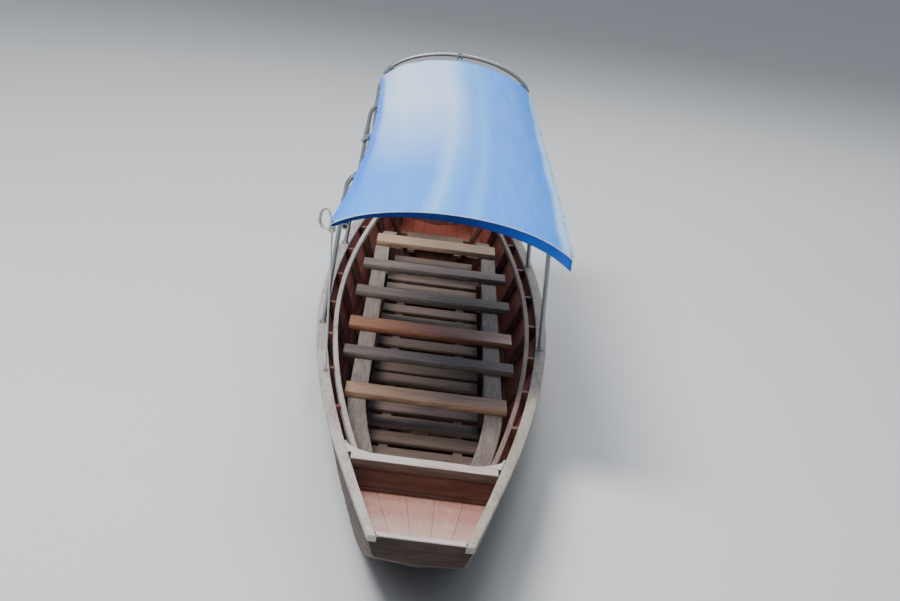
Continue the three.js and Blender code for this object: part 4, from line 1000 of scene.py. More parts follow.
def carrier(lines, **attributes):
    """The points that a tree works on, joined along each line. Attributes are one value, or one a point."""
    mesh = bpy.data.meshes.new("carrier")
    edges, count = [], 0
    for line in lines:
        edges += [(count + k, count + k + 1) for k in range(len(line) - 1)]
        count += len(line)
    mesh.from_pydata([point for line in lines for point in line], edges, [])
    for name, values in attributes.items():
        values = values if isinstance(values, list) else [values] * count
        is_number = isinstance(values[0], (int, float))
        kind, field = ("FLOAT", "value") if is_number else ("FLOAT_VECTOR", "vector")
        layer = mesh.attributes.new(name, kind, "POINT")
        for item, value in zip(layer.data, values):
            setattr(item, field, value)
    return mesh


def grow(tree, on, finish, **sizes):
    """The plain mesh that a tree makes on a carrier."""
    holder = place_in_scene("holder", on)
    modifier = holder.modifiers.new("grow", "NODES")
    modifier.node_group = tree.network
    for label, value in (*sizes.items(), ("Finish", finish)):
        modifier[tree.inputs[label]] = value
    return shaded(evaluated_mesh(holder))


def grown(name, tree, on, finish, slot, replaces=(), body="hull", place=None, **sizes):
    """A piece that a tree makes on a carrier."""
    return link(name, grow(tree, on, finish, **sizes), None, slot, replaces, body, place)


def fasteners(name, tree, spots, finish, slot="dark_steel", body="hull", place=None, **sizes):
    """Heads on spots, each a place and a facing."""
    draw = random.Random(3)
    on = carrier([[at] for at, _ in spots], facing=[facing for _, facing in spots],
                 spin=[draw.uniform(0, math.tau) for _ in spots])
    return grown(name, tree, on, finish, slot, (), body, place, **sizes)


def pipe(name, lines, finish, slot, replaces=(), **how):
    return grown(name, TUBES, carrier(lines), finish, slot, replaces, **how)


# Hull

LOWER = {side: corner_lines("lower_strake_" + side, board_corners) for side, _ in SIDES}
UPPER = {side: corner_lines("upper_strake_" + side, board_corners) for side, _ in SIDES}
CAP_LINES = {side: corner_lines("gunwale_cap_" + side, board_corners) for side, _ in SIDES}
BOTTOM_LINES = corner_lines("bottom_planking", bottom_corners)
PLANK_ENDS = tuple(corner.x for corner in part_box("upper_strake_port"))


def inner_side(side, x, z):
    """Where a height meets the inside of the planking."""
    points = [LOWER[side][3].at(x), LOWER[side][2].at(x), UPPER[side][2].at(x)]
    for low, high in zip(points, points[1:]):
        if z <= high.z or high is points[-1]:
            return Vector((x, lerp(low.y, high.y, (z - low.z) / (high.z - low.z)), z))


def floor_height(x):
    """Top of the floor boards, which lie higher at both ends."""
    return next(height for aft, height in FLOOR_LEVELS if HALF_LENGTH - x <= aft)


def deck_top(node, x):
    """The height of a deck along the boat, from its height at both ends."""
    low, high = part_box(node)
    corners = [vert.co for vert in NODES[node].data.vertices]
    ends = [max(corner.z for corner in corners if abs(corner.x - end) < 0.003) for end in (low.x, high.x)]
    return lerp(*ends, (x - low.x) / (high.x - low.x))


def plank(bm, lines, xs, first, last, tint):
    """A board between two shares of a strake, with a hair's gap at each seam and a coat on its inner face."""
    rings = []
    for x in xs:
        outer_low, outer_high, inner_high, inner_low = (line.at(x) for line in lines)
        slack = SEAM / max((outer_high - outer_low).length, 0.01)
        low, high = first + slack, last - slack
        corners = [outer_low.lerp(outer_high, low), outer_low.lerp(outer_high, high),
                   inner_low.lerp(inner_high, high), inner_low.lerp(inner_high, low)]
        rings.append(rounded(corners, PLANK_EDGE, 1))
    lay_rings(bm, rings, tint, inside=[0, 0, 0, 0, 1, 1, 1, 1])


def strakes():
    """Side planking: two boards to each strake, each in two lengths that butt over a frame."""
    draw = random.Random(11)
    for side, _ in SIDES:
        bm = bmesh.new()
        for lines, butts in ((LOWER[side], (-0.64, 0.68)), (UPPER[side], (-1.30, 1.40))):
            for (first, last), middle in zip(((0.0, 0.5), (0.5, 1.0)), butts):
                butt = middle + draw.uniform(-0.05, 0.05)
                for low, high in ((PLANK_ENDS[0], butt - BUTT_GAP), (butt + BUTT_GAP, PLANK_ENDS[1])):
                    plank(bm, lines, even(low, high, 0.09), first, last, draw.random())
        link("side_planks_" + side, bm, HULL, "hull_wood", ["lower_strake_" + side, "upper_strake_" + side])


def bottom():
    """Bottom planking: a keel plank and two boards to each side of it."""
    draw = random.Random(5)
    keel, keel_in, *chines = BOTTOM_LINES
    bm = bmesh.new()
    xs = even(*PLANK_ENDS, 0.1)
    for outer, inner in (chines[:2], chines[2:]):
        for first, last in zip(BOTTOM_SEAMS, (*BOTTOM_SEAMS[1:], 1.0)):
            plank(bm, (keel, outer, inner, keel_in), xs, first, last, draw.random())
    share = BOTTOM_SEAMS[0] - 0.004
    rings = []
    for x in xs:
        k, k_in = keel.at(x), keel_in.at(x)
        port, port_in, starboard, starboard_in = (line.at(x) for line in chines)
        rings.append([k, k.lerp(port, share), k_in.lerp(port_in, share),
                      k_in, k_in.lerp(starboard_in, share), k.lerp(starboard, share)])
    lay_rings(bm, rings, 0.4, inside=[0, 0, 1, 1, 1, 0])
    link("bottom_boards", bm, HULL, "hull_wood", ["bottom_planking"])


def seam_caulk():
    """Resin and oakum in the seams of the planking, a little below both faces."""
    half = 0.0013
    seams = []
    for side, _ in SIDES:
        for outer_low, outer_high, inner_high, inner_low in (LOWER[side], UPPER[side]):
            seams += [(outer_low, inner_low, outer_high, inner_high, share) for share in (0.0, 0.5)]
    keel, keel_in, *chines = BOTTOM_LINES
    for outer, inner in (chines[:2], chines[2:]):
        seams += [(keel, keel_in, outer, inner, share) for share in BOTTOM_SEAMS]
    bm = bmesh.new()
    for *lines, share in seams:
        rings = []
        for x in even(*PLANK_ENDS, 0.12):
            low, low_in, high, high_in = (line.at(x) for line in lines)
            up = (high - low).normalized() * half
            outside, inside = low.lerp(high, share), low_in.lerp(high_in, share)
            near, far = outside.lerp(inside, 0.10), outside.lerp(inside, 0.90)
            rings.append([near - up, near + up, far + up, far - up])
        lay_rings(bm, rings)
    link("seam_caulk", bm, CAULK, "black_plastic")


def gunwale_caps():
    """Caps along the sheer, in three lengths each, with worn and rounded edges."""
    draw = random.Random(23)
    for side, sign in SIDES:
        bm = bmesh.new()
        butts = [-HALF_LENGTH, -1.55 + draw.uniform(-0.1, 0.1), 1.30 + draw.uniform(-0.1, 0.1), HALF_LENGTH]
        for low, high in zip(butts, butts[1:]):
            seed = draw.uniform(0, 50)

            def section(x):
                corners = [line.at(x) for line in CAP_LINES[side]]
                chip = abs(0.0016 * noise.noise(Vector((x * 5.0, seed, 0))))
                for corner, inset in zip(corners, (-CAP_INSET, -CAP_INSET - chip, chip, 0.0)):
                    corner.y += sign * inset
                corners[1].z -= chip
                return corners

            lay_board(bm, even(low + BUTT_GAP, high - BUTT_GAP, 0.045), section, 0.006, 2, draw.random())
        finish = CAP_PORT if side == "port" else CAP
        link("cap_" + side, bm, finish, "pale_wood", ["gunwale_cap_" + side])


def inwales_and_knees():
    """A pale inwale along each side, and the dark knees that hold it off the planking."""
    draw = random.Random(31)
    for side, sign in SIDES:
        low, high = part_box("side_framing_" + side)

        def inwale_section(x):
            height = UPPER[side][2].at(x).z - 0.006
            outside = inner_side(side, x, height).y - sign * 0.053
            return square(x, outside, outside - sign * 0.024, height - 0.034, height)

        inwale, knees = bmesh.new(), bmesh.new()
        lay_board(inwale, even(low.x, high.x, 0.06), inwale_section, 0.005, 2, draw.random())
        for x in FRAME_X:
            lay_rings(knees, knee_rings(side, sign, x), draw.random())
        link("inwale_" + side, inwale, INWALE_RED if side == "port" else CAP, "pale_wood")
        link("knees_" + side, knees, FRAMING, "hull_wood", ["side_framing_" + side])


def knee_rings(side, sign, x):
    """A knee up the planking, which grows deeper towards its top."""
    foot = floor_height(x) - FLOOR_DEEP + SEAM
    top = UPPER[side][2].at(x).z - 0.007
    rings = []
    for z in even(foot, top, 0.05):
        near = inner_side(side, x, z).y - sign * 0.001
        far = near - sign * lerp(0.034, 0.056, ((z - foot) / (top - foot)) ** 1.5)
        wave = 0.0012 * noise.noise(Vector((x, z * 12, sign)))
        fore, aft = x + RIB_WIDE / 2, x - RIB_WIDE / 2
        corners = ((aft, near), (fore, near), (fore + wave, far), (aft + wave, far))
        rings.append(rounded([Vector((at, y, z)) for at, y in corners], 0.005, 1))
    return rings


def plank_box(bm, low, high, along, tint, edge=0.004, wave=0.0015, seed=0.0):
    """A sawn board between two corners, with eased edges that wander a little along its length."""
    axis = "XYZ".index(along)
    others = [k for k in range(3) if k != axis]
    rings = []
    for place in even(low[axis], high[axis], 0.08):
        corners = []
        for pick in ((0, 0), (1, 0), (1, 1), (0, 1)):
            point = Vector()
            point[axis] = place
            for k, other in zip(pick, others):
                point[other] = (low, high)[k][other]
            drift = wave * noise.noise(Vector((place * 4.0 + seed, pick[0] * 7.3, pick[1] * 3.1 + seed)))
            point[others[0]] -= abs(drift) * (1 if pick[0] else -1)
            corners.append(point)
        rings.append(rounded(corners, edge, 2))
    lay_rings(bm, rings, tint)


def seats():
    """Thwarts: one thick board each, its edges worn round."""
    finishes = {"third": SEAT_RED, "front": SEAT_TAN, "driver": SEAT_TAN}
    draw = random.Random(41)
    for name in SEATS:
        low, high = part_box("thwart_" + name)
        bm = bmesh.new()
        plank_box(bm, low, high, "Y", draw.random(), edge=0.008, wave=0.004, seed=draw.uniform(0, 40))
        link("seat_" + name, bm, finishes.get(name, SEAT_GREY), "seat_wood", ["thwart_" + name])


def seat_rails():
    """The planks under the seats, in smooth lines, on square legs."""
    draw = random.Random(43)
    leg = Vector((0.016, 0.016, 0))
    for side, sign in SIDES:
        node = "seat_rail_" + side
        low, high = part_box(node)
        edges = {}
        for vert in NODES[node].data.vertices:
            if vert.co.z > high.z - 0.001:
                edges.setdefault(round(vert.co.x, 3), []).append(vert.co.copy())
        rows = [sorted(points, key=lambda p: abs(p.y)) for _, points in sorted(edges.items())
                if len(points) > 1]
        inner, outer = Line([row[0] for row in rows]), Line([row[-1] for row in rows])
        under = high.z - RAIL_THICK

        def section(x):
            return square(x, inner.at(x).y, outer.at(x).y, under, high.z)

        bm = bmesh.new()
        lay_board(bm, even(low.x, high.x, 0.1), section, 0.004, 2, draw.random())
        for x in FRAME_X:
            if HALF_LENGTH - x <= RAIL_LEGS_END:
                y = inner.at(x).y + sign * 0.022
                foot = Vector((x, y, floor_height(x) - FLOOR_DEEP + 0.0003))
                plank_box(bm, foot - leg, Vector((x, y, under + 0.001)) + leg, "Z", draw.random(), edge=0.003)
        link("seat_plank_" + side, bm, RAIL, "seat_wood", [node])


def inside_outline(x, low, high, clear=0.0):
    """The hull's section inside, between two heights, port side first. low None is the bottom."""
    chine, seam = LOWER["port"][3].at(x), LOWER["port"][2].at(x)
    slack = SEAM + clear
    if low is None:
        half = [(0.0, BOTTOM_LINES[1].at(x).z + slack), (chine.y - slack, chine.z + slack)]
        low = chine.z
    else:
        half = [(inner_side("port", x, low).y - slack, low + clear)]
    if low < seam.z < high:
        half.append((seam.y - slack, seam.z))
    half.append((inner_side("port", x, high).y - slack, high - clear))
    mirrored = [(-y, z) for y, z in reversed(half) if y > 0]
    return [Vector((x, y, z)) for y, z in half + mirrored]


def board_across(bm, x_low, x_high, low, high, tint, edge=0.003):
    """A board on edge across the boat, cut to the hull, with eased edges."""
    steps = ((x_low, edge), (x_low + edge, 0.0), (x_high - edge, 0.0), (x_high, edge))
    lay_rings(bm, [inside_outline(x, low, high, clear) for x, clear in steps], tint)


def bulkheads():
    """Boards laid one above the other across each end of the well."""
    for node, levels in (("bow_bulkhead", (0.205, 0.285)), ("stern_bulkhead", (0.165, 0.235))):
        low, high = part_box(node)
        draw = random.Random(len(node))
        bm = bmesh.new()
        starts = [None] + [level + 0.0008 for level in levels]
        for under, over in zip(starts, (*levels, high.z)):
            board_across(bm, low.x, high.x, under, over, draw.random())
        link(node + "_boards", bm, BULKHEAD, "hull_wood", [node])


def cross_beams():
    """The pale beams over the bulkheads, and the swept knees in the corners behind the bow one."""
    bow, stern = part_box("bow_cross_beam"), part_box("stern_cross_beam")
    back = HALF_LENGTH - 1.190
    beams = (
        # node, back and front of the beam, its thickness, where its wander starts
        ("bow_cross_beam", back, HALF_LENGTH - 1.085, 0.036, bow[0].x),
        ("stern_cross_beam", stern[0].x, stern[1].x, 0.066, stern[0].x),
    )
    for node, aft, fore, thick, seed in beams:
        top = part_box(node)[1].z
        half = abs(CAP_LINES["port"][2].at(fore).y) - SEAM
        bm = bmesh.new()
        plank_box(bm, (aft, -half, top - thick), (fore, half, top), "Y", 0.6, edge=0.005, wave=0.002,
                  seed=seed)
        if node == "bow_cross_beam":
            for side, sign in SIDES:
                corner_knee(bm, side, sign, bow[0].x, back)
        mesh = to_mesh(bm)
        # Faces towards the boat's end get the darker finish: a worn coat and painted shade.
        on_face = [face.normal.x * (fore + aft) > 1.0 for face in mesh.polygons]
        link(node + "_plank", two_tone(mesh, (CAP_CROSS, BEAM_FACE), on_face), None, "pale_wood", [node])


def corner_knee(bm, side, sign, aft, fore):
    """A flat knee under the cap that sweeps out towards the beam."""

    def section(x):
        reach = 0.008 + 0.110 * (1 - (fore - x) / (fore - aft)) ** 2.6
        edge = CAP_LINES[side][2].at(x)
        outside = edge.y - sign * SEAM
        return square(x, outside - sign * reach, outside, edge.z - 0.022, edge.z)

    lay_board(bm, even(aft, fore + 0.002, 0.012), section, 0.003, 1, 0.8)


def decks():
    """Sunk end decks: boards that run lengthwise and narrow with the hull."""
    for node in DECKS:
        low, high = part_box(node)
        draw = random.Random(DECK_BOARDS + len(node))
        bm = bmesh.new()
        for index in range(DECK_BOARDS):

            def section(x):
                top = deck_top(node, x)
                foot = top - DECK_THICK
                corners = []
                for share, z, cup in ((0, foot, 0), (0, top, 1), (1, top, 1), (1, foot, 0)):
                    half = inner_side("port", x, z).y - SEAM
                    y = half * (2 * (index + share) / DECK_BOARDS - 1) + BOARD_GAP * (1 - 2 * share)
                    corners.append(Vector((x, y, z - SEAM * cup)))
                return corners

            lay_board(bm, even(low.x, high.x, 0.06), section, 0.0016, 1, draw.random())
        link(node + "_boards", bm, DECK, "deck_wood", [node])


def eased_copy(node, edge):
    """A merged copy of a node's solid with its sharp edges rounded, for a piece whose shape is right."""
    bm = bmesh.new()
    bm.from_mesh(NODES[node].data)
    bmesh.ops.remove_doubles(bm, verts=bm.verts, dist=1e-5)
    bmesh.ops.dissolve_limit(bm, angle_limit=math.radians(1), verts=bm.verts, edges=bm.edges)
    sharp = [e for e in bm.edges if len(e.link_faces) == 2 and e.calc_face_angle() > math.radians(25)]
    bmesh.ops.bevel(bm, geom=sharp, offset=edge, segments=2, profile=0.5, affect="EDGES", clamp_overlap=True)
    tints = bm.verts.layers.float.new("board_tint")
    for vert in bm.verts:
        vert[tints] = 0.5
    return bm


def heads():
    """The solid heads at the tips: near-black faces, dark paint and painted shade, with bare pale tops and a
    worn lip.
    """
    for node, tip in (("bow_head", 1), ("stern_head", -1)):
        mesh = to_mesh(eased_copy(node, 0.005))
        # Faces that do not face up get the near-black finish, which is partly painted shade.
        on_top = [face.normal.z > 0.6 for face in mesh.polygons]
        link(node + "_block", two_tone(mesh, (HEAD_PAINT_AND_SHADE, CAP_CROSS), on_top), None, "pale_wood", [node])
        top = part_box(node)[1].z
        half = abs(CAP_LINES["port"][2].at(tip * 4.09).y) - 0.001
        aft, fore = sorted((tip * 4.066, tip * 4.0985))
        lip = bmesh.new()
        plank_box(lip, (aft, -half, top - 0.004), (fore, half, top + 0.0025), "Y", 0.9, edge=0.002,
                  wave=0.001)
        link(node + "_lip", lip, CAP_CROSS, "pale_wood")


def floor_timbers():
    """Cross timbers on the bottom under the floor boards, and the keelson between them."""
    low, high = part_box("floor_framing")
    draw = random.Random(77)
    bm = bmesh.new()
    for x in FRAME_X:
        top = floor_height(x) - FLOOR_DEEP
        board_across(bm, x - RIB_WIDE / 2, x + RIB_WIDE / 2, None, top, draw.random(), edge=0.004)

    def section(x):
        foot = BOTTOM_LINES[1].at(x).z + 0.004
        return square(x, -0.045, 0.045, foot, foot + 0.022)

    lay_board(bm, even(low.x, high.x, 0.12), section, 0.004, 1, 0.3)
    link("floor_timbers", bm, FRAMING, "hull_wood", ["floor_framing"])


def board_places(node, top):
    """Where the boards of a floor panel lie: their middle and their reach to each side."""
    reach = {}
    for vert in NODES[node].data.vertices:
        if vert.co.z > top - 0.0005:
            at = round(vert.co.x, 3)
            reach[at] = max(reach.get(at, 0.0), abs(vert.co.y))
    edges = sorted(reach)
    return [((a + b) / 2, min(reach[a], reach[b])) for a, b in zip(edges[::2], edges[1::2])]


def floor_boards():
    """Loose floor panels: slats nailed to two battens each."""
    draw = random.Random(51)
    nails = []
    battens = bmesh.new()
    for name in ("bow", "fore", "middle", "aft", "stern"):
        node = "floor_panel_" + name
        low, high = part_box(node)
        top = high.z
        xs, reaches = zip(*board_places(node, top))
        on = carrier([[(x, 0, top - 0.009)] for x in xs], reach=list(reaches),
                     board_tint=[draw.random() for _ in xs])
        grown("floor_slats_" + name, SLATS, on, BOARD, "seat_wood", [node])
        offset = min(0.175, min(reaches) - 0.034)
        for y in (offset, -offset):
            under = Vector((low.x + 0.022, y - 0.022, top - FLOOR_DEEP))
            over = Vector((high.x - 0.022, y + 0.022, top - 0.0182))
            plank_box(battens, under, over, "X", draw.random(), edge=0.002)
            nails += [((x + step, y, top), UP) for x in xs for step in (-0.045, 0.045)]
    link("floor_battens", battens, BOARD, "seat_wood")
    fasteners("floor_nails", HEADS, nails, NAIL, Radius=0.0038, Height=0.0012)


def plank_nails():
    """Rows of nails through the planking into the knees, outside."""
    spots = []
    for side, sign in SIDES:
        for lines in (LOWER[side], UPPER[side]):
            for x in FRAME_X:
                low, high = lines[0].at(x), lines[1].at(x)
                up = (high - low).normalized()
                facing = Vector((0, up.z, -up.y)) * sign
                for share in (0.08, 0.42, 0.58, 0.92):
                    spots += [(low.lerp(high, share) + AHEAD * step, facing) for step in (-0.008, 0.008)]
    fasteners("plank_nails", HEADS, spots, NAIL, Radius=0.0048, Height=0.0014)


def timber_nails():
    """Nails in the caps and thwarts."""
    draw = random.Random(61)
    spots = []
    for side, _ in SIDES:
        for x in even(-3.95, 3.95, 0.235):
            inner, outer = CAP_LINES[side][2].at(x), CAP_LINES[side][1].at(x)
            spots += [(inner.lerp(outer, share) + AHEAD * draw.uniform(-0.012, 0.012), UP)
                      for share in (0.26, 0.72)]
    for name in SEATS:
        low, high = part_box("thwart_" + name)
        for y in (low.y + 0.05, high.y - 0.05):
            for share in (0.25, 0.75):
                spots.append(((lerp(low.x, high.x, share), y + draw.uniform(-0.006, 0.006), high.z), UP))
    fasteners("timber_nails", HEADS, spots, NAIL, Radius=0.0036, Height=0.0011)


def deck_nails():
    spots = []
    for node in DECKS:
        low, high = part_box(node)
        for x in even(low.x + 0.03, high.x - 0.03, 0.40):
            top = deck_top(node, x)
            half = inner_side("port", x, top).y
            for across in (index + share for index in range(DECK_BOARDS) for share in (0.25, 0.75)):
                spots.append(((x, half * (2 * across / DECK_BOARDS - 1), top - 0.0006), UP))
    fasteners("deck_nails", HEADS, spots, NAIL, Radius=0.0027, Height=0.0008)


# Canopy


def arch(x, turn, out=0.0):
    """A point of the canopy's arch. Turn 0 is the port eave."""
    share = (CANOPY_ENDS[0] - x) / (CANOPY_ENDS[0] - CANOPY_ENDS[1])
    half, eave, crown = (lerp(*ends, share) for ends in (ARCH_HALF, ARCH_EAVE, ARCH_CROWN))
    return Vector((x, math.cos(turn) * (half + out), eave + math.sin(turn) * (crown - eave + out)))


def off_arch(x, turn):
    """The direction straight out of the arch."""
    along = arch(x, turn + 0.02) - arch(x, turn - 0.02)
    return Vector((0, along.z, -along.y)).normalized()


def foot_of_leg(x, side, sign):
    inner = CAP_LINES[side][2].at(x)
    return Vector((x, inner.y + sign * 0.022, inner.z + SEAM))


def pipe_hoops():
    """Bent pipe hoops. Three stand on legs, with a foot plate and a sleeve on each."""
    screws, welds = [], []
    for index, (name, x) in enumerate(zip(HOOPS, HOOP_X)):
        first = 0.0 if index in LEGGED else math.radians(13)
        line = [arch(x, turn) for turn in even(first, math.pi - first, 0.07)]
        meshes = []
        if index in LEGGED:
            feet, sleeves = bmesh.new(), []
            for side, sign in SIDES:
                foot, top = foot_of_leg(x, side, sign), arch(x, 0.0 if sign > 0 else math.pi)
                start, on_plate = foot + UP * 0.004, foot + UP * 0.005
                leg = [start.lerp(top, share) for share in (0.0, 0.35, 0.7)]
                line = leg + line if sign > 0 else line + leg[::-1]
                sleeves.append([start.lerp(top, share) for share in (0.838, 0.842, 0.918, 0.922)])
                block(feet, foot + Vector((-0.022, -0.020, 0)), on_plate + Vector((0.022, 0.020, 0)), 0.0022)
                screws += [(on_plate + Vector((i * 0.016, j * 0.0145, 0)), UP) for i, j in CORNERS]
                screws.append((start.lerp(top, 0.88) + AHEAD * 0.0155, AHEAD))
                welds.append((on_plate, UP))
            meshes = [grow(TUBES, carrier(sleeves), PIPE_STEEL, Radius=PIPE + 0.0035, Sides=16),
                      to_mesh(feet)]
        meshes.append(grow(TUBES, carrier([line]), PIPE_STEEL, Radius=PIPE, Sides=16))
        link("pipe_hoop_" + name, joined(meshes), PIPE_STEEL, "canopy_pipe", ["hoop_" + name])
    fasteners("foot_screws", BOLTS, screws, NAIL, Radius=0.0032, Height=0.0022)
    fasteners("foot_welds", RINGS, welds, PIPE_STEEL, "canopy_pipe", Radius=PIPE + 0.0005, Wire=0.0026)


def rail_point(name, x):
    """A point of a canopy rail. The rails are straight between their two ends."""
    degrees, depth = RAIL_TURNS[name]
    turn = math.radians(degrees)
    ends = [arch(end, turn) - off_arch(end, turn) * depth for end in RAIL_ENDS]
    return ends[0].lerp(ends[1], (RAIL_ENDS[0] - x) / (RAIL_ENDS[0] - RAIL_ENDS[1]))


def canopy_rails():
    """The ridge pole and the eave rails, plugged at their ends and lashed up under the hoops."""
    plugs, ties, facings = [], [], []
    for name, (degrees, _) in RAIL_TURNS.items():
        line = [rail_point(name, x) for x in even(*RAIL_ENDS, 0.3)]
        pipe(name + "_pipe", [line], PIPE_STEEL, "canopy_pipe", [name], Radius=PIPE, Sides=16)
        plugs += [(line[0], AHEAD), (line[-1], -AHEAD)]
        turn = math.radians(degrees)
        for x in HOOP_X:
            facings.append(off_arch(x, turn))
            ties.append([(arch(x, turn) + rail_point(name, x)) / 2])
    fasteners("rail_plugs", HEADS, plugs, RUBBER, "black_plastic", Radius=0.0105, Height=0.003, Sides=14)
    grown("rail_lashings", LASHINGS, carrier(ties, facing=facings, along=AHEAD), TWINE, "tarp", Pipe=PIPE)


def edge_turn(edge, share):
    bow = 4 * share * (1 - share) * (edge["middle"] - (edge["front"] + edge["rear"]) / 2)
    return math.radians(lerp(edge["front"], edge["rear"], share) + bow)


def bay(x):
    """How far into its bay between two hoops a place is: 0 on a hoop's pipe and 1 in the middle."""
    for front, rear in zip(HOOP_X, HOOP_X[1:]):
        if rear <= x <= front:
            half = (front - rear) / 2 - HOOP_HOLD
            share = max(0.0, min(x - rear, front - x) - HOOP_HOLD) / half
            return 1 - (1 - share) ** 2
    return 0.0


def over_lashings(x, turn):
    """How far the sheet is lifted by the lashings of the rails under it."""
    high, broad = 0.0034, 0.019
    lift = 0.0
    for hoop in HOOP_X[:5]:
        if abs(x - hoop) < 0.07:
            for degrees, _ in RAIL_TURNS.values():
                away = (turn - math.radians(degrees)) * 0.5
                lift += high * math.exp(-((x - hoop) ** 2 + away ** 2) / (2 * broad ** 2))
    return lift


def sheet_folds(x, across, near):
    """Long folds, short folds that run askew, and a ripple near the edges."""
    long_folds = 0.0042 * noise.noise(Vector((x * 0.55, across * 11.0, 3.1)))
    short_folds = 0.0026 * noise.noise(Vector((x * 2.6 + across * 3.0, across * 7.0 - x * 1.2, 9.4)))
    return long_folds + short_folds + 0.0014 * math.sin(x * 21.0 + 4.0 * across) * near ** 3


def sheet_point(x, across, out=TARP_OUT):
    """A point of the sheet, from its port edge at 0 to its starboard edge at 1."""
    share = (TARP_ENDS[0] - x) / (TARP_ENDS[0] - TARP_ENDS[1])
    port, starboard = (edge_turn(edge, share) for edge in EDGES)
    edge = EDGES[0] if across < 0.5 else EDGES[1]
    near = abs(1 - 2 * across)
    free = bay(x)
    turn = lerp(port, math.pi - starboard, across) + edge["side"] * math.radians(0.25) * free * near ** 8
    sag = 0.010 * free * (1 - 0.72 * near ** 3) + 0.9 * max(0.0, x - HOOP_X[0]) ** 2
    folds = sheet_folds(x, across, near) * min(1.0, free * 2.5)
    point = arch(x, turn, out - sag + folds + over_lashings(x, turn))
    point.y += edge["side"] * edge["pull"] * near ** 3 * (1 - share) ** edge["fade"]
    point.z -= edge["droop"] * near ** 4 * (1 - share) ** 12
    return point


def sheet_mesh(xs, shares, lift=0.0, thick=TARP_THICK):
    """A stretch of the sheet as thin cloth. It keeps its place along the boat and its share of the width."""
    bm = bmesh.new()
    flat = bm.loops.layers.uv.new("flat")
    rows = [[bm.verts.new(sheet_point(x, share, TARP_OUT + lift)) for share in shares] for x in xs]
    for i in range(len(xs) - 1):
        for j in range(len(shares) - 1):
            around = ((i, j), (i, j + 1), (i + 1, j + 1), (i + 1, j))
            face = bm.faces.new([rows[a][b] for a, b in around])
            for loop, (a, b) in zip(face.loops, around):
                loop[flat].uv = (xs[a], shares[b])
    mesh = to_mesh(bm, flip_check=False)
    if mesh.polygons[0].normal.z < 0:
        mesh.flip_normals()
    holder = place_in_scene("holder", mesh)
    wall = holder.modifiers.new("wall", "SOLIDIFY")
    wall.thickness, wall.offset, wall.material_offset = thick, 1.0, 1
    return evaluated_mesh(holder)


def tarpaulin():
    """The sheet itself, with its hems, piping, stitches and eyelets, and the valance at its front."""
    on_hoops = {hoop + step for hoop in HOOP_X[:5] for step in (-HOOP_HOLD, 0.0, HOOP_HOLD)}
    between = {x for x in even(*TARP_ENDS, 0.028) if all(abs(x - hoop) > 0.018 for hoop in HOOP_X)}
    xs = sorted(on_hoops | between, reverse=True)
    shares = even(0.0, 1.0, 0.0105)
    mesh = sheet_mesh(xs, shares)
    for finish in (TARP, TARP_UNDER):
        mesh.materials.append(finish)
    sheet = link("canopy_sheet", mesh, None, "tarp", ["tarpaulin"])
    with_pieces = [
        sheet_hems(xs, shares),
        link("front_valance", front_valance(shares), VALANCE, "tarp"),
        front_piping(shares),
        hem_stitches(xs, shares),
        sheet_eyelets(),
    ]


def sheet_hems(xs, shares):
    """A second layer round the edge of the sheet."""
    front = [x for x in xs if x > TARP_ENDS[0] - 0.03]
    rear = [x for x in xs if x < TARP_ENDS[1] + 0.04]
    port, starboard = even(0.0, HEM_WIDE, 0.0101), even(1 - HEM_WIDE, 1.0, 0.0101)
    margins = ((xs, port), (xs, starboard), (rear, shares), (front, shares))
    hems = [sheet_mesh(places, across, lift=HEM_LIFT, thick=0.0008) for places, across in margins]
    return link("sheet_hems", joined(hems), TARP_MARGIN, "tarp")


def front_valance(shares):
    """The band that hangs from the sheet's front edge, deeper to port, with a rolled foot."""
    rings = []
    for share in shares:
        top = sheet_point(TARP_ENDS[0], share)
        back = 0.0035 * noise.noise(Vector((share * 14, 0, 0)))
        foot = top + Vector((-0.006 + back, 0, -lerp(0.054, 0.018, min(1.0, share * 1.25))))
        offsets = ((top, -0.0006, 0.0), (top, -0.0026, 0.0006), (foot, -0.0052, 0.004),
                   (foot, -0.0058, -0.001), (foot, -0.0030, -0.0034), (foot, 0.0002, -0.001),
                   (foot, -0.0002, 0.004))
        rings.append([start + Vector((ahead, 0, up)) for start, ahead, up in offsets])
    bm = bmesh.new()
    lay_rings(bm, rings)
    return to_mesh(bm, smooth_under=70)


def front_piping(shares):
    edge = [sheet_point(TARP_ENDS[0], share, TARP_OUT + 0.0012) + AHEAD * 0.0008 for share in shares]
    return pipe("front_piping", [edge], PIPING, "tarp", Radius=0.0030, Sides=10)


def hem_stitches(xs, shares):
    inset = HEM_WIDE * 0.86
    out = TARP_OUT + HEM_LIFT + 0.0010
    seams = [[sheet_point(x, share, out) for x in xs] for share in (inset, 1 - inset)]
    seams += [[sheet_point(x, share, out) for share in shares]
              for x in (TARP_ENDS[0] - 0.026, TARP_ENDS[1] + 0.031)]
    facing = [off_arch(point.x, math.atan2(point.z - 0.9, point.y)) for line in seams for point in line]
    return grown("hem_stitches", BEADS, carrier(seams, facing=facing), ROPE, "tarp", Spacing=0.0105)


def sheet_eyelets():
    spots = []
    for x in TIE_X:
        for _, share in TIE_SHARES:
            facing = off_arch(x, math.pi * lerp(0.1, 0.9, share))
            spots.append((sheet_point(x, share, TARP_OUT + HEM_LIFT + 0.0011), facing))
    return fasteners("sheet_eyelets", RINGS, spots, BRASS, "prop_brass", Radius=0.0075, Wire=0.0018)


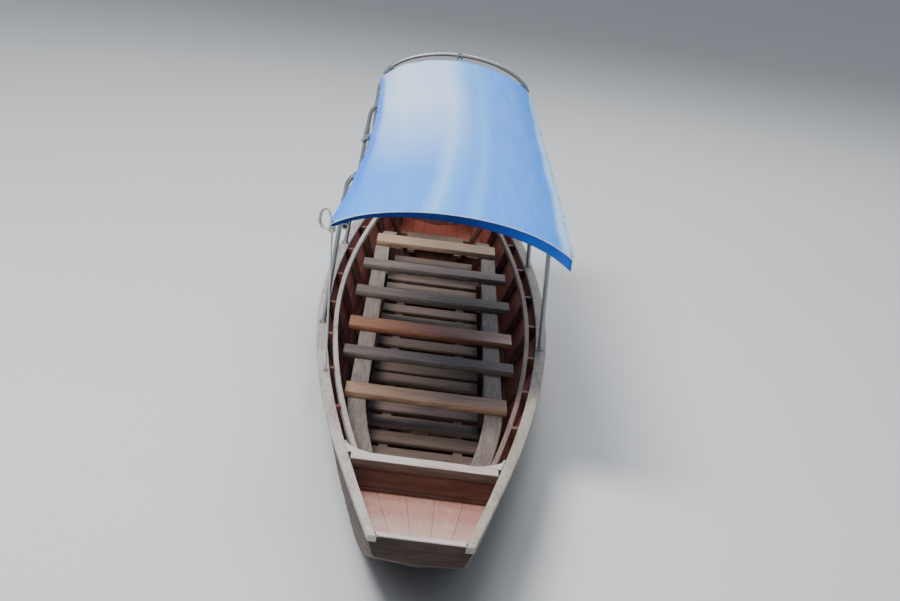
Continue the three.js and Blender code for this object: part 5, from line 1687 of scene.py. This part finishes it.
def eave_tie(x, rail_name, share):
    """A turn of rope through an eyelet and round the eave rail below it."""
    eye, rail = sheet_point(x, share), rail_point(rail_name, x + 0.012)
    away = eye - rail
    start = math.atan2(away.z, away.y) + 0.9
    reach = PIPE + 0.0028
    over = eye + UP * 0.006
    line = [over - AHEAD * 0.003, eye]
    for step in even(0.0, 1.0, 1 / 12):
        turn = start + (math.tau - 1.8) * step
        line.append(rail + Vector((lerp(-0.006, 0.006, step), *polar(reach, turn))))
    return line + [eye + Vector((0.004, 0, -0.004)), over]


def corner_knot(corner, down, sign):
    """Turns round the taut line, and the two loops of the bow that stand outboard of the corner."""
    aside = down.cross(AHEAD).normalized()
    ahead = down.cross(aside)
    knot = [corner + Vector((-0.008, 0.004, 0.004)), corner + Vector((0.002, -0.004, 0.008))]
    for step in range(25):
        turn = math.tau * step / 8
        girth = 0.0112 + 0.0012 * math.sin(step * 0.7)
        middle = corner + down * (0.012 + 0.034 * step / 24)
        out, round_by = polar(girth, turn)
        knot.append(middle + aside * out + ahead * round_by)
    for ahead_by, size in ((0.014, 1.0), (0.003, 0.90)):
        knot += [corner + Vector((ahead_by, sign * out * size, up * size)) for out, up in CORNER_BOW]
    return knot + [corner + down * 0.020 + ahead * 0.014]


def sheet_ties():
    """Rope from each eyelet to the eave rail, and the guy from the starboard front corner to the cap."""
    lines = [through(eave_tie(x, name, share), 4) for x in TIE_X for name, share in TIE_SHARES]
    grown("sheet_ties", LAID_ROPE, carrier(lines), ROPE, "tarp", Radius=0.0022, Lay=0.014, Step=0.0035)
    side, sign = SIDES[1]
    corner = sheet_point(TARP_ENDS[0] - 0.012, TIE_SHARES[1][1])
    cap = foot_of_leg(TARP_ENDS[0] - 0.10, side, sign)
    guy = [corner.lerp(cap, share) for share in even(0.0, 1.0, 0.08)]
    knot = through(corner_knot(corner, (cap - corner).normalized(), sign), 4)
    grown("corner_guy", LAID_ROPE, carrier([guy, knot]), ROPE, "tarp", Radius=0.0052, Lay=0.029, Step=0.005)
    fasteners("guy_staple", RINGS, [(cap + UP * 0.006, AHEAD)], NAIL, Radius=0.007, Wire=0.0016)
    fasteners("guy_plate", HEADS, [(cap + UP * 0.0005, UP)], NAIL, Radius=0.011, Height=0.002, Sides=12)


# Engine. Sizes are in its own frame: x forward along the shaft, z up, the tilt axis at the origin.


def block(bm, low, high, edge=0.003, segments=2):
    """A block between two corners with rounded edges."""
    low, high = Vector(low), Vector(high)
    size = high - low
    made = bmesh.ops.create_cube(bm, size=1.0)["verts"]
    for vert in made:
        vert.co = (low + high) / 2 + vert.co * size
    edges = list({e for vert in made for e in vert.link_edges})
    edge = min(edge, 0.45 * min(size))
    bmesh.ops.bevel(bm, geom=edges, offset=edge, segments=segments, profile=0.5, affect="EDGES",
                    clamp_overlap=True)


def polar(radius, turn, middle=(0.0, 0.0)):
    return middle[0] + radius * math.cos(turn), middle[1] + radius * math.sin(turn)


def lathed(bm, rows, sides=32, at=(0.0, 0.0), axis="X", hollow=False):
    """A turned piece. Rows are place along the axis, radius and, for a row of slots, how deep they are."""
    rings = []
    for along, radius, *dent in rows:
        ring = []
        for k in range(sides):
            reach = radius - (dent[0] if dent and k % 4 in (1, 2) else 0.0)
            u, v = polar(reach, math.tau * k / sides, at)
            ring.append(Vector({"X": (along, u, v), "Y": (u, along, v), "Z": (u, v, along)}[axis]))
        rings.append(ring)
    if hollow:
        rings.append(rings[0])
    lay_rings(bm, rings, closed_ends=not hollow)
    if hollow:
        bmesh.ops.remove_doubles(bm, verts=bm.verts, dist=1e-7)


def plate(bm, outline):
    """A flat upright plate. Its outline is given as distance ahead of the tail's end and height."""
    lay_rings(bm, [[Vector((TAIL_END + ahead, y, z)) for ahead, z in outline] for y in PLATE_SIDES])


def shaft_circle(x, radius, count, middle=(0.0, SHAFT_Z), phase=0.0):
    """Points round an axis along x."""
    return [Vector((x, *polar(radius, math.tau * k / count + phase, middle))) for k in range(count)]


def bolted(name, spots, radius, body="engine_unit", place=ENGINE_PLACE):
    fasteners(name, BOLTS, spots, BOLT_STEEL, body=body, place=place, Radius=radius, Height=radius * 0.7)


def welded(name, lines, facing=None, body="engine_unit", place=ENGINE_PLACE, **sizes):
    """Weld beads along lines. Round a pipe they face away from the middle of their line."""
    if facing is None:
        middles = [sum(line, Vector()) / len(line) for line in lines]
        facing = [(point - middle).normalized() for line, middle in zip(lines, middles) for point in line]
    on = carrier(lines, facing=facing)
    grown(name, BEADS, on, WELD_STEEL, "dark_steel", body=body, place=place, **sizes)


def ribbed(name, points, facing, along, finish, slot, how, **sizes):
    """A small bar on each point."""
    on = carrier([[at] for at in points], facing=facing, along=along)
    grown(name, BARS, on, finish, slot, **how, **sizes)


def pivot():
    """The socket on the stern beam and the yoke that swivels in it."""
    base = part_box("pivot_socket")[0].z
    x, top = PIVOT.x, PIVOT.z - 0.0853
    bm = bmesh.new()
    block(bm, (x - 0.055, -0.095, base), (x + 0.055, 0.095, base + 0.008), 0.002)
    rows = [(base + 0.004, 0.026), (top - 0.003, 0.026), (top, 0.0235), (top, 0.0146), (base + 0.004, 0.0146)]
    lathed(bm, rows, 28, (x, 0), "Z", hollow=True)
    for sign in (1, -1):
        for lengthwise, reach in ((False, 0.080), (True, 0.050)):
            outline = ((0.024, 0.007), (reach, 0.007), (reach, 0.012), (0.024, 0.046))
            gusset = [(sign * out, base + up) for out, up in outline]
            sheets = []
            for side in PLATE_SIDES:
                sheets.append([Vector((x + out, side, z)) if lengthwise else Vector((x + side, out, z))
                               for out, z in gusset])
            lay_rings(bm, sheets)
    link("pivot_base", bm, STEEL_DARK, "dark_steel", ["pivot_socket"])
    spots = [((x + i * 0.040, j * 0.075, base + 0.0095), UP) for i, j in CORNERS]
    bolted("pivot_bolts", spots, 0.008, body="hull", place=None)
    bm = bmesh.new()
    block(bm, (-0.028, -0.118, -0.085), (0.028, 0.118, -0.065), 0.004)
    foot = base - PIVOT.z
    lathed(bm, [(foot + 0.002, 0.011), (foot + 0.006, 0.014), (-0.075, 0.014)], 24, axis="Z")
    for sign in (1, -1):
        yoke_ear(bm, sign)
    bmesh.ops.remove_doubles(bm, verts=bm.verts, dist=1e-7)
    link("yoke_fork", bm, STEEL_DARK, "dark_steel", ["swivel_yoke"], **YOKE)
    lines = [[Vector((s, y, -0.0645)) for s in even(-0.022, 0.022, 0.01)] for y in (0.1035, -0.1035)]
    welded("yoke_welds", lines, UP, **YOKE, Spacing=0.004, Long=0.006, Wide=0.007, High=0.003)


def yoke_ear(bm, sign):
    """An upright ear of the yoke: round at its top, with a bore for the trunnion."""
    radius, drop, bore = 0.024, 0.070, 0.0106
    loops = []
    for y, in_bore in ((0.104, False), (0.118, False), (0.118, True), (0.104, True)):
        loop = []
        for k in range(36):
            c, s = polar(1.0, math.tau * k / 36)
            reach = radius if s >= 0 else min(radius / max(abs(c), 1e-6), drop / max(-s, 1e-6))
            reach = bore if in_bore else reach
            loop.append(Vector((reach * c, sign * y, reach * s)))
        loops.append(loop)
    lay_rings(bm, loops + [loops[0]], closed_ends=False)


def cradle():
    """Two channel rails with cross bars, the engine's bed plate, the trunnions and a flange plate."""
    bm = bmesh.new()
    web, lip, low, high = 0.0045, 0.0042, -0.024, 0.012
    trunnion = ((0.122, 0.008), (0.1205, 0.010), (0.078, 0.010))
    for sign in (1, -1):
        section = ((0.078, low), (0.098, low), (0.098, low + lip), (0.078 + web, low + lip),
                   (0.078 + web, high - lip), (0.098, high - lip), (0.098, high), (0.078, high))
        lay_rings(bm, [[Vector((x, sign * y, z)) for y, z in section] for x in (-0.120, 0.440)])
        lathed(bm, [(sign * y, radius) for y, radius in trunnion], 20, axis="Y")
    block(bm, (-0.120, -0.097, low + 0.001), (-0.096, 0.097, high - 0.001), 0.004)
    block(bm, (0.414, -0.097, low + 0.001), (0.4395, 0.097, high - 0.001), 0.004)
    block(bm, (0.084, -0.098, 0.0062), (0.400, 0.098, 0.0138), 0.0015)
    block(bm, (-0.112, -0.062, 0.002), (-0.102, 0.062, 0.182), 0.003)
    link("cradle_frame", bm, STEEL_DARK, "dark_steel", ["cradle"], **ENGINE)
    bolted("engine_bolts", [((x, y, 0.0345), UP) for x in (0.118, 0.274) for y in (0.103, -0.103)], 0.0065)
    bolted("flange_bolts", [(at, -AHEAD) for at in shaft_circle(-0.1285, 0.048, 6)], 0.0055)
    lines = [[Vector((x, y, 0.0125)) for x in even(-0.118, -0.098, 0.004)] for y in (0.0775, -0.0775)]
    lines += [[Vector((-0.1015, y, 0.004)) for y in even(-0.055, 0.055, 0.01)]]
    welded("cradle_welds", lines, UP, Spacing=0.004, Long=0.006, Wide=0.006, High=0.003)


def coupling():
    """The cast bell between the engine and the tail, with ribs along its cone."""
    bm = bmesh.new()
    rows = [(-0.100, 0.052), (-0.097, 0.058), (-0.064, 0.058), (-0.060, 0.047), (-0.020, 0.050),
            (0.040, 0.060), (0.058, 0.066), (0.059, 0.080), (0.063, 0.084), (0.089, 0.084), (0.092, 0.080)]
    lathed(bm, rows, 40, (0.0, SHAFT_Z))
    link("coupling_bell", bm, CAST_ALLOY, "engine_alloy", ["coupling_housing"], **ENGINE)
    ribs = shaft_circle(0.0, 0.0555, 8, phase=0.2)
    outward = [(at - UP * SHAFT_Z).normalized() for at in ribs]
    ribbed("coupling_ribs", ribs, outward, [AHEAD + out * 0.14 for out in outward], CAST_ALLOY,
           "engine_alloy", ENGINE, Long=0.108, Wide=0.005, High=0.016)
    bolted("coupling_bolts", [(at, -AHEAD) for at in shaft_circle(0.0585, 0.0755, 6)], 0.005)


def crankcase():
    """The cast crankcase: feet, round belly, side cover, oil filler and the pad that carries the cylinder."""
    bm = bmesh.new()
    block(bm, (-0.050, 0.060, -0.050), (0.050, 0.1137, 0.050), 0.006, 3)
    bm.transform(ENGINE_PLACE.inverted() @ LEAN_PLACE)
    block(bm, (0.0925, -0.095, 0.0146), (0.2995, 0.091, 0.189), 0.016, 4)
    block(bm, (0.112, -0.068, 0.172), (0.288, 0.068, 0.2118), 0.010, 3)
    for x in (0.097, 0.253):
        block(bm, (x, -0.1095, 0.0145), (x + 0.042, 0.1095, 0.0335), 0.004)
    lathed(bm, [(0.0925, 0.082), (0.098, 0.0895), (0.294, 0.0895), (0.2997, 0.084)], 44, (0.0, SHAFT_Z))
    cover = (0.196, 0.108)
    lathed(bm, [(-0.101, 0.048), (-0.098, 0.056), (-0.0958, 0.058)], 36, cover, "Y")
    filler = ((-0.115, 0.016), (-0.113, 0.019), (-0.104, 0.019), (-0.104, 0.016))
    lathed(bm, [(y, radius, 0.0018) for y, radius in filler] + [(-0.094, 0.016)], 24, (0.128, 0.062), "Y")
    link("engine_block", bm, CAST_BLACK, "engine_alloy", ["crankcase"], **ENGINE)
    spots = []
    for k in range(7):
        across, up = polar(0.052, math.tau * k / 7, cover)
        spots.append(((across, -0.0985, up), -ACROSS))
    spots += [((x, y, 0.2118), UP) for x in (0.124, 0.276) for y in (-0.056, 0.056)]
    bolted("crankcase_bolts", spots, 0.0045)
    ribs = [(x, -0.0945, 0.165) for x in even(0.115, 0.28, 0.0165)]
    ribbed("crankcase_ribs", ribs, -ACROSS, UP, CAST_BLACK, "engine_alloy", ENGINE, Long=0.034, Wide=0.004,
           High=0.006)


def cylinder():
    """The leaning cylinder: barrel in its fins, head, rocker cover, and the spark plug under its cap."""
    bm = bmesh.new()
    lathed(bm, [(0.1143, 0.050), (0.118, 0.052), (0.192, 0.052), (0.196, 0.050)], 36, axis="Y")
    block(bm, (-0.058, 0.1145, -0.058), (0.058, 0.1215, 0.058), 0.003)
    block(bm, (-0.055, 0.190, -0.055), (0.055, 0.2135, 0.055), 0.005, 3)
    block(bm, (-0.040, 0.2135, -0.044), (0.040, 0.2355, 0.044), 0.009, 4)
    on = carrier([[(0, 0.1245, 0)]], facing=ACROSS, spin=0.0)
    fins = grow(FINS, on, CAST_ALLOY, Count=6, Pitch=0.0118, Thick=0.0034, Long=0.128, Wide=0.124)
    link("cylinder_barrel", joined([to_mesh(bm), fins]), CAST_ALLOY, "engine_alloy", ["finned_cylinder"],
         **LEANING)
    spots = [((i * 0.0475, 0.2138, j * 0.0475), ACROSS) for i, j in CORNERS]
    spots += [((i * 0.031, 0.2358, j * 0.035), ACROSS) for i, j in CORNERS]
    bolted("head_bolts", spots, 0.005, place=LEAN_PLACE)
    plug, cap = bmesh.new(), bmesh.new()
    middle = (0.0, 0.2035)
    lathed(plug, [(-0.074, 0.006), (-0.063, 0.006), (-0.062, 0.011), (-0.050, 0.011)], 12, middle, "Z")
    lathed(cap, [(-0.096, 0.0060), (-0.090, 0.0090), (-0.070, 0.0095), (-0.068, 0.0085)], 16, middle, "Z")
    link("spark_plug", plug, SPARK_WHITE, "white_plastic", **LEANING)
    link("plug_cap", cap, RUBBER, "black_plastic", **LEANING)


def silencer():
    """A pressed box silencer with a rolled seam, an open outlet and a louvred heat guard."""
    bm = bmesh.new()
    block(bm, (-0.069, 0.151, 0.0745), (0.061, 0.225, 0.134), 0.015, 4)
    block(bm, (-0.072, 0.1485, 0.103), (0.064, 0.2275, 0.1065), 0.0015, 1)
    block(bm, (-0.020, 0.155, 0.0625), (0.020, 0.185, 0.080), 0.004)
    rows = [(0.056, 0.013), (0.0945, 0.013), (0.096, 0.0118), (0.096, 0.0100), (0.066, 0.0100)]
    lathed(bm, rows, 20, (0.205, 0.118))
    link("silencer_box", bm, RUSTED, "dark_steel", ["silencer"], **LEANING)
    bm = bmesh.new()
    block(bm, (-0.064, 0.156, 0.1372), (0.056, 0.220, 0.1386), 0.0006, 1)
    for x in (-0.060, 0.050):
        for y in (0.160, 0.214):
            block(bm, (x - 0.004, y - 0.004, 0.132), (x + 0.004, y + 0.004, 0.138), 0.001, 1)
    link("heat_guard", bm, STEEL_DARK, "dark_steel", **LEANING)
    louvres = [(x, 0.188, 0.1386) for x in even(-0.052, 0.044, 0.012)]
    ribbed("guard_louvres", louvres, Vector((0.35, 0, 1)), ACROSS, STEEL_DARK, "dark_steel", LEANING,
           Long=0.046, Wide=0.0062, High=0.0022)


def recoil():
    """The red starter cover: air slots round its cone, a dished face, and the pull handle on its guide."""
    cover, guide, handle = bmesh.new(), bmesh.new(), bmesh.new()
    rows = [(0.3004, 0.098), (0.303, 0.1045), (0.306, 0.106), (0.348, 0.106), (0.352, 0.104), (0.358, 0.100),
            (0.3585, 0.0995, 0.007), (0.3795, 0.0865, 0.007), (0.380, 0.086), (0.387, 0.081), (0.3915, 0.076),
            (0.3915, 0.056), (0.388, 0.053), (0.388, 0.047), (0.3925, 0.046), (0.400, 0.044), (0.402, 0.041)]
    lathed(cover, rows, 64, (0.0, SHAFT_Z))
    link("starter_cover", cover, COVER_RED, "cover_red", ["recoil_housing"], **ENGINE)
    bolted("starter_bolts", [(at, AHEAD) for at in shaft_circle(0.3055, 0.1035, 4, phase=0.6)], 0.0042)
    block(guide, (0.318, -0.126, 0.128), (0.340, -0.104, 0.152), 0.004)
    block(handle, (0.3215, -0.142, 0.112), (0.3365, -0.126, 0.168), 0.0065, 4)
    link("handle_guide", guide, PLASTIC_BLACK, "black_plastic", **ENGINE)
    link("pull_handle", handle, PLASTIC_BLACK, "black_plastic", **ENGINE)


def tank():
    """The white fuel tank in two pressed halves, with a ribbed cap and a rigid fuel pipe."""
    bm = bmesh.new()
    block(bm, (0.1185, -0.1035, 0.2365), (0.3175, 0.0615, 0.3175), 0.026, 5)
    block(bm, (0.134, -0.088, 0.2126), (0.290, 0.046, 0.333), 0.020, 5)
    block(bm, (0.116, -0.106, 0.2755), (0.320, 0.064, 0.2790), 0.0015, 1)
    link("tank_shell", bm, TANK_WHITE, "white_plastic", ["fuel_tank"], **ENGINE)
    bm = bmesh.new()
    rows = [(0.3325, 0.024), (0.3345, 0.030), (0.3345, 0.030, 0.0016), (0.3495, 0.0295, 0.0016),
            (0.3495, 0.0295), (0.352, 0.026)]
    lathed(bm, rows, 48, (0.180, -0.040), "Z")
    block(bm, (0.1745, -0.065, 0.350), (0.1855, -0.015, 0.3575), 0.002)
    link("tank_cap", bm, PLASTIC_BLACK, "black_plastic", ["fuel_cap"], **ENGINE)
    tank_straps()
    route = ((0.226, -0.070, 0.216), (0.226, -0.084, 0.205), (0.232, -0.098, 0.185), (0.236, -0.104, 0.160),
             (0.237, -0.105, 0.140))
    pipe("fuel_pipe", [through(route, 6)], BOLT_STEEL, "dark_steel", **ENGINE, Radius=0.0036, Sides=10)


def tank_straps():
    """Two flat straps over the tank."""
    over = ((-0.1062, 0.214), (-0.1062, 0.2960), (-0.080, 0.3355), (0.038, 0.3355), (0.0642, 0.2960),
            (0.0642, 0.214))
    under = ((-0.1044, 0.214), (-0.1044, 0.2952), (-0.079, 0.3338), (0.037, 0.3338), (0.0624, 0.2952),
             (0.0624, 0.214))
    bm = bmesh.new()
    for x in (0.150, 0.272):
        rings = []
        for edge in (x, x + 0.014):
            outer, inner = (rounded([Vector((edge, y, z)) for y, z in line], 0.020, 4)
                            for line in (over, under))
            rings.append(outer[4:-4] + inner[4:-4][::-1])
        lay_rings(bm, rings)
    link("tank_straps", bm, STEEL_DARK, "dark_steel", **ENGINE)


def air_cleaner():
    """The air cleaner's canister on its duct, and the carburettor with its float bowl."""
    bm = bmesh.new()
    rows = [(-0.1755, 0.036), (-0.174, 0.044), (-0.171, 0.046), (-0.139, 0.046), (-0.138, 0.0475),
            (-0.133, 0.0475), (-0.132, 0.046), (-0.117, 0.046), (-0.1145, 0.042)]
    lathed(bm, rows, 36, (0.236, 0.150), "Y")
    block(bm, (0.207, -0.1195, 0.111), (0.267, -0.0965, 0.179), 0.006, 3)
    block(bm, (0.233, -0.186, 0.136), (0.239, -0.1755, 0.164), 0.0025, 2)
    link("air_canister", bm, PLASTIC_BLACK, "black_plastic", ["air_filter"], **ENGINE)
    bm = bmesh.new()
    block(bm, (0.214, -0.1185, 0.088), (0.260, -0.0975, 0.112), 0.005, 3)
    lathed(bm, [(0.066, 0.012), (0.069, 0.0165), (0.086, 0.017), (0.090, 0.0165)], 20, (0.237, -0.1135), "Z")
    link("carburettor", bm, CAST_ALLOY, "engine_alloy", **ENGINE)


def tiller():
    """The tiller's tube on its plate, and the ribbed grip at its end."""
    route = ((0.446, 0, -0.006), (0.620, 0, 0.006), (0.900, 0, 0.018), (1.180, 0, 0.022))
    tube = grow(TUBES, carrier([through(route, 10)]), PIPE_STEEL, Radius=0.014, Sides=18)
    base = bmesh.new()
    block(base, (0.4404, -0.0395, -0.0235), (0.4498, 0.0395, 0.0115), 0.002)
    link("tiller_tube", joined([tube, to_mesh(base)]), PIPE_STEEL, "dark_steel", ["tiller_arm"], **ENGINE)
    bolted("tiller_bolts", [((0.450, y, -0.006), AHEAD) for y in (0.027, -0.027)], 0.006)
    circle = shaft_circle(0.4515, 0.0145, 24, (0.0, -0.006))
    welded("tiller_weld", [circle + circle[:1]], Spacing=0.0025, Long=0.004, Wide=0.005, High=0.00275)
    grip, z = bmesh.new(), 0.022
    rows = [(1.1812, 0.0165), (1.184, 0.0185), (1.304, 0.0185), (1.306, 0.0225), (1.3135, 0.0228),
            (1.316, 0.020)]
    lathed(grip, rows, 28, (0.0, z))
    link("grip_sleeve", grip, RUBBER, "grip_rubber", ["tiller_grip"], **ENGINE)
    ribs = [((x, 0, z), AHEAD) for x in even(1.190, 1.299, 0.0075)]
    fasteners("grip_ribs", RINGS, ribs, RUBBER, "grip_rubber", **ENGINE, Radius=0.0183, Wire=0.0013, Steps=24)


def throttle():
    """The throttle lever on the tiller, its thin rigid rod and the clips that hold it."""
    bm = bmesh.new()
    lathed(bm, [(1.148, 0.0165), (1.150, 0.0185), (1.166, 0.0185), (1.168, 0.0165)], 24, (0.0, 0.0215))
    block(bm, (1.154, -0.030, 0.018), (1.162, -0.017, 0.026), 0.002)
    block(bm, (1.150, -0.0335, 0.016), (1.226, -0.0300, 0.027), 0.0015)
    link("throttle_lever", bm, STEEL_DARK, "dark_steel", **ENGINE)
    rod = ((1.152, -0.0305, 0.022), (1.080, -0.0172, 0.0215), (0.900, -0.0168, 0.018),
           (0.640, -0.0168, 0.0068), (0.520, -0.020, 0.006), (0.430, -0.060, 0.024), (0.330, -0.100, 0.060),
           (0.262, -0.112, 0.092))
    pipe("throttle_rod", [through(rod, 8)], STEEL_DARK, "dark_steel", **ENGINE, Radius=0.0025, Sides=8)
    clips = [((x, -0.0025, z), AHEAD) for x, z in ((0.640, 0.0072), (0.900, 0.0185), (1.080, 0.0215))]
    fasteners("rod_clips", RINGS, clips, STEEL_DARK, **ENGINE, Radius=0.0168, Wire=0.0016, Steps=24)


def tail():
    """The tail: tube, bearing, flange, stiffening rod on posts, skeg, web and splash plate, all welded."""
    z, end = SHAFT_Z, TAIL_END
    bm = bmesh.new()
    rows = [(end, 0.0125), (end, 0.0295), (end + 0.0025, 0.032), (end + 0.116, 0.032), (end + 0.120, 0.0275),
            (end + 0.124, 0.024), (-0.128, 0.024), (-0.128, 0.058), (-0.126, 0.060), (-0.1145, 0.060),
            (-0.1123, 0.058), (-0.1123, 0.010), (end + 0.060, 0.0125)]
    lathed(bm, rows, 32, (0.0, z), hollow=True)
    for x in (-0.440, -0.790, -1.130):
        lathed(bm, [(z + 0.020, 0.006), (z + 0.062, 0.006)], 12, (x, 0.0), "Z")
    plate(bm, SKEG)
    plate(bm, TAIL_WEB)
    block(bm, (end - 0.130, -0.062, 0.2582), (end + 0.130, 0.062, 0.2638), 0.002)
    over = ((-0.150, 0.020), (-0.420, 0.066), (-1.150, 0.066), (-1.440, 0.020))
    line = [(x, 0, z + up) for x, up in over]
    rod = grow(TUBES, carrier([through(line, 10)]), STEEL_DARK, Radius=0.008, Sides=12)
    link("tail_pole", joined([to_mesh(bm), rod]), TAIL_STEEL, "dark_steel", ["tail_tube"], **ENGINE)
    circles = [shaft_circle(-0.1295, 0.0255, 24), shaft_circle(end + 0.122, 0.027, 24)]
    welded("tail_welds", [circle + circle[:1] for circle in circles],
           Spacing=0.0035, Long=0.0056, Wide=0.007, High=0.00385)
    seams = [[Vector((end + ahead, y, z + up)) for ahead in even(0.02, 0.14, 0.01)]
             for y in (0.0035, -0.0035) for up in (-0.0315, 0.0315)]
    seams += [[Vector((end + ahead, y, 0.2575)) for ahead in even(0.03, 0.11, 0.01)]
              for y in (0.0035, -0.0035)]
    facing = [ACROSS if point.y > 0 else -ACROSS for line in seams for point in line]
    welded("plate_welds", seams, facing, Spacing=0.0042, Long=0.006, Wide=0.006, High=0.003)


def blade_ring(radius, sign):
    """The section of a blade at a radius: full ahead, flatter behind, twisted by the blade's pitch."""
    _, half, degrees = Line([Vector(row) for row in BLADE]).at(radius)
    thick = 0.0036 * (1 - radius / 0.150) + 0.0006
    tip = max(0.0, (radius - 0.090) / 0.028)
    chord = half * math.sqrt(1 - tip * tip)
    c, s = polar(1.0, math.radians(degrees))
    ring = []
    for k in range(14):
        u, rise = polar(1.0, math.tau * k / 14)
        v = thick * rise * (1.0 if rise > 0 else 0.45)
        ring.append(Vector((u * chord * s - v * c, sign * (u * chord * c + v * s), sign * radius)))
    return ring


def propeller():
    """The brass propeller: two smooth twisted blades on a hub, with the nut and the shaft's end."""
    bm = bmesh.new()
    rows = [(-0.0265, 0.0125), (-0.0265, 0.0165), (-0.0245, 0.0190), (0.010, 0.0222), (0.0265, 0.0225),
            (0.0295, 0.0205), (0.030, 0.012), (0.118, 0.012), (0.120, 0.0105)]
    lathed(bm, rows, 32)
    lathed(bm, [(-0.0390, 0.0130), (-0.0375, 0.0158), (-0.0275, 0.0158), (-0.0262, 0.0140)], 6)
    lathed(bm, [(-0.0440, 0.0062), (-0.0430, 0.0075), (-0.0380, 0.0075)], 16)
    for sign in (1, -1):
        radii = even(0.012, 0.098, 0.0055) + [0.102, 0.106, 0.1095, 0.1125, 0.1148, 0.1164, 0.1174]
        lay_rings(bm, [blade_ring(radius, sign) for radius in radii])
    link("propeller_blades", bm, BRASS, "prop_brass", ["propeller"], body="screw", place=PROPELLER_PLACE)


def chock():
    link("chock_block", eased_copy("tail_chock", 0.004), SEAT_TAN, "deck_wood", ["tail_chock"])


make_floor(FLOOR_GREY)
for build in (
    strakes, bottom, seam_caulk, gunwale_caps, inwales_and_knees, seats, seat_rails, bulkheads, cross_beams,
    decks, heads, floor_timbers, floor_boards, plank_nails, timber_nails, deck_nails, pipe_hoops,
    canopy_rails, tarpaulin, sheet_ties, pivot, cradle, coupling, crankcase, cylinder, silencer, recoil, tank,
    air_cleaner, tiller, throttle, tail, propeller, chock,
):
    build()

reach = {"cad_low": list(cad_low), "cad_high": list(cad_high)}
reach["low"], reach["high"] = (list(corner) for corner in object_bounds())
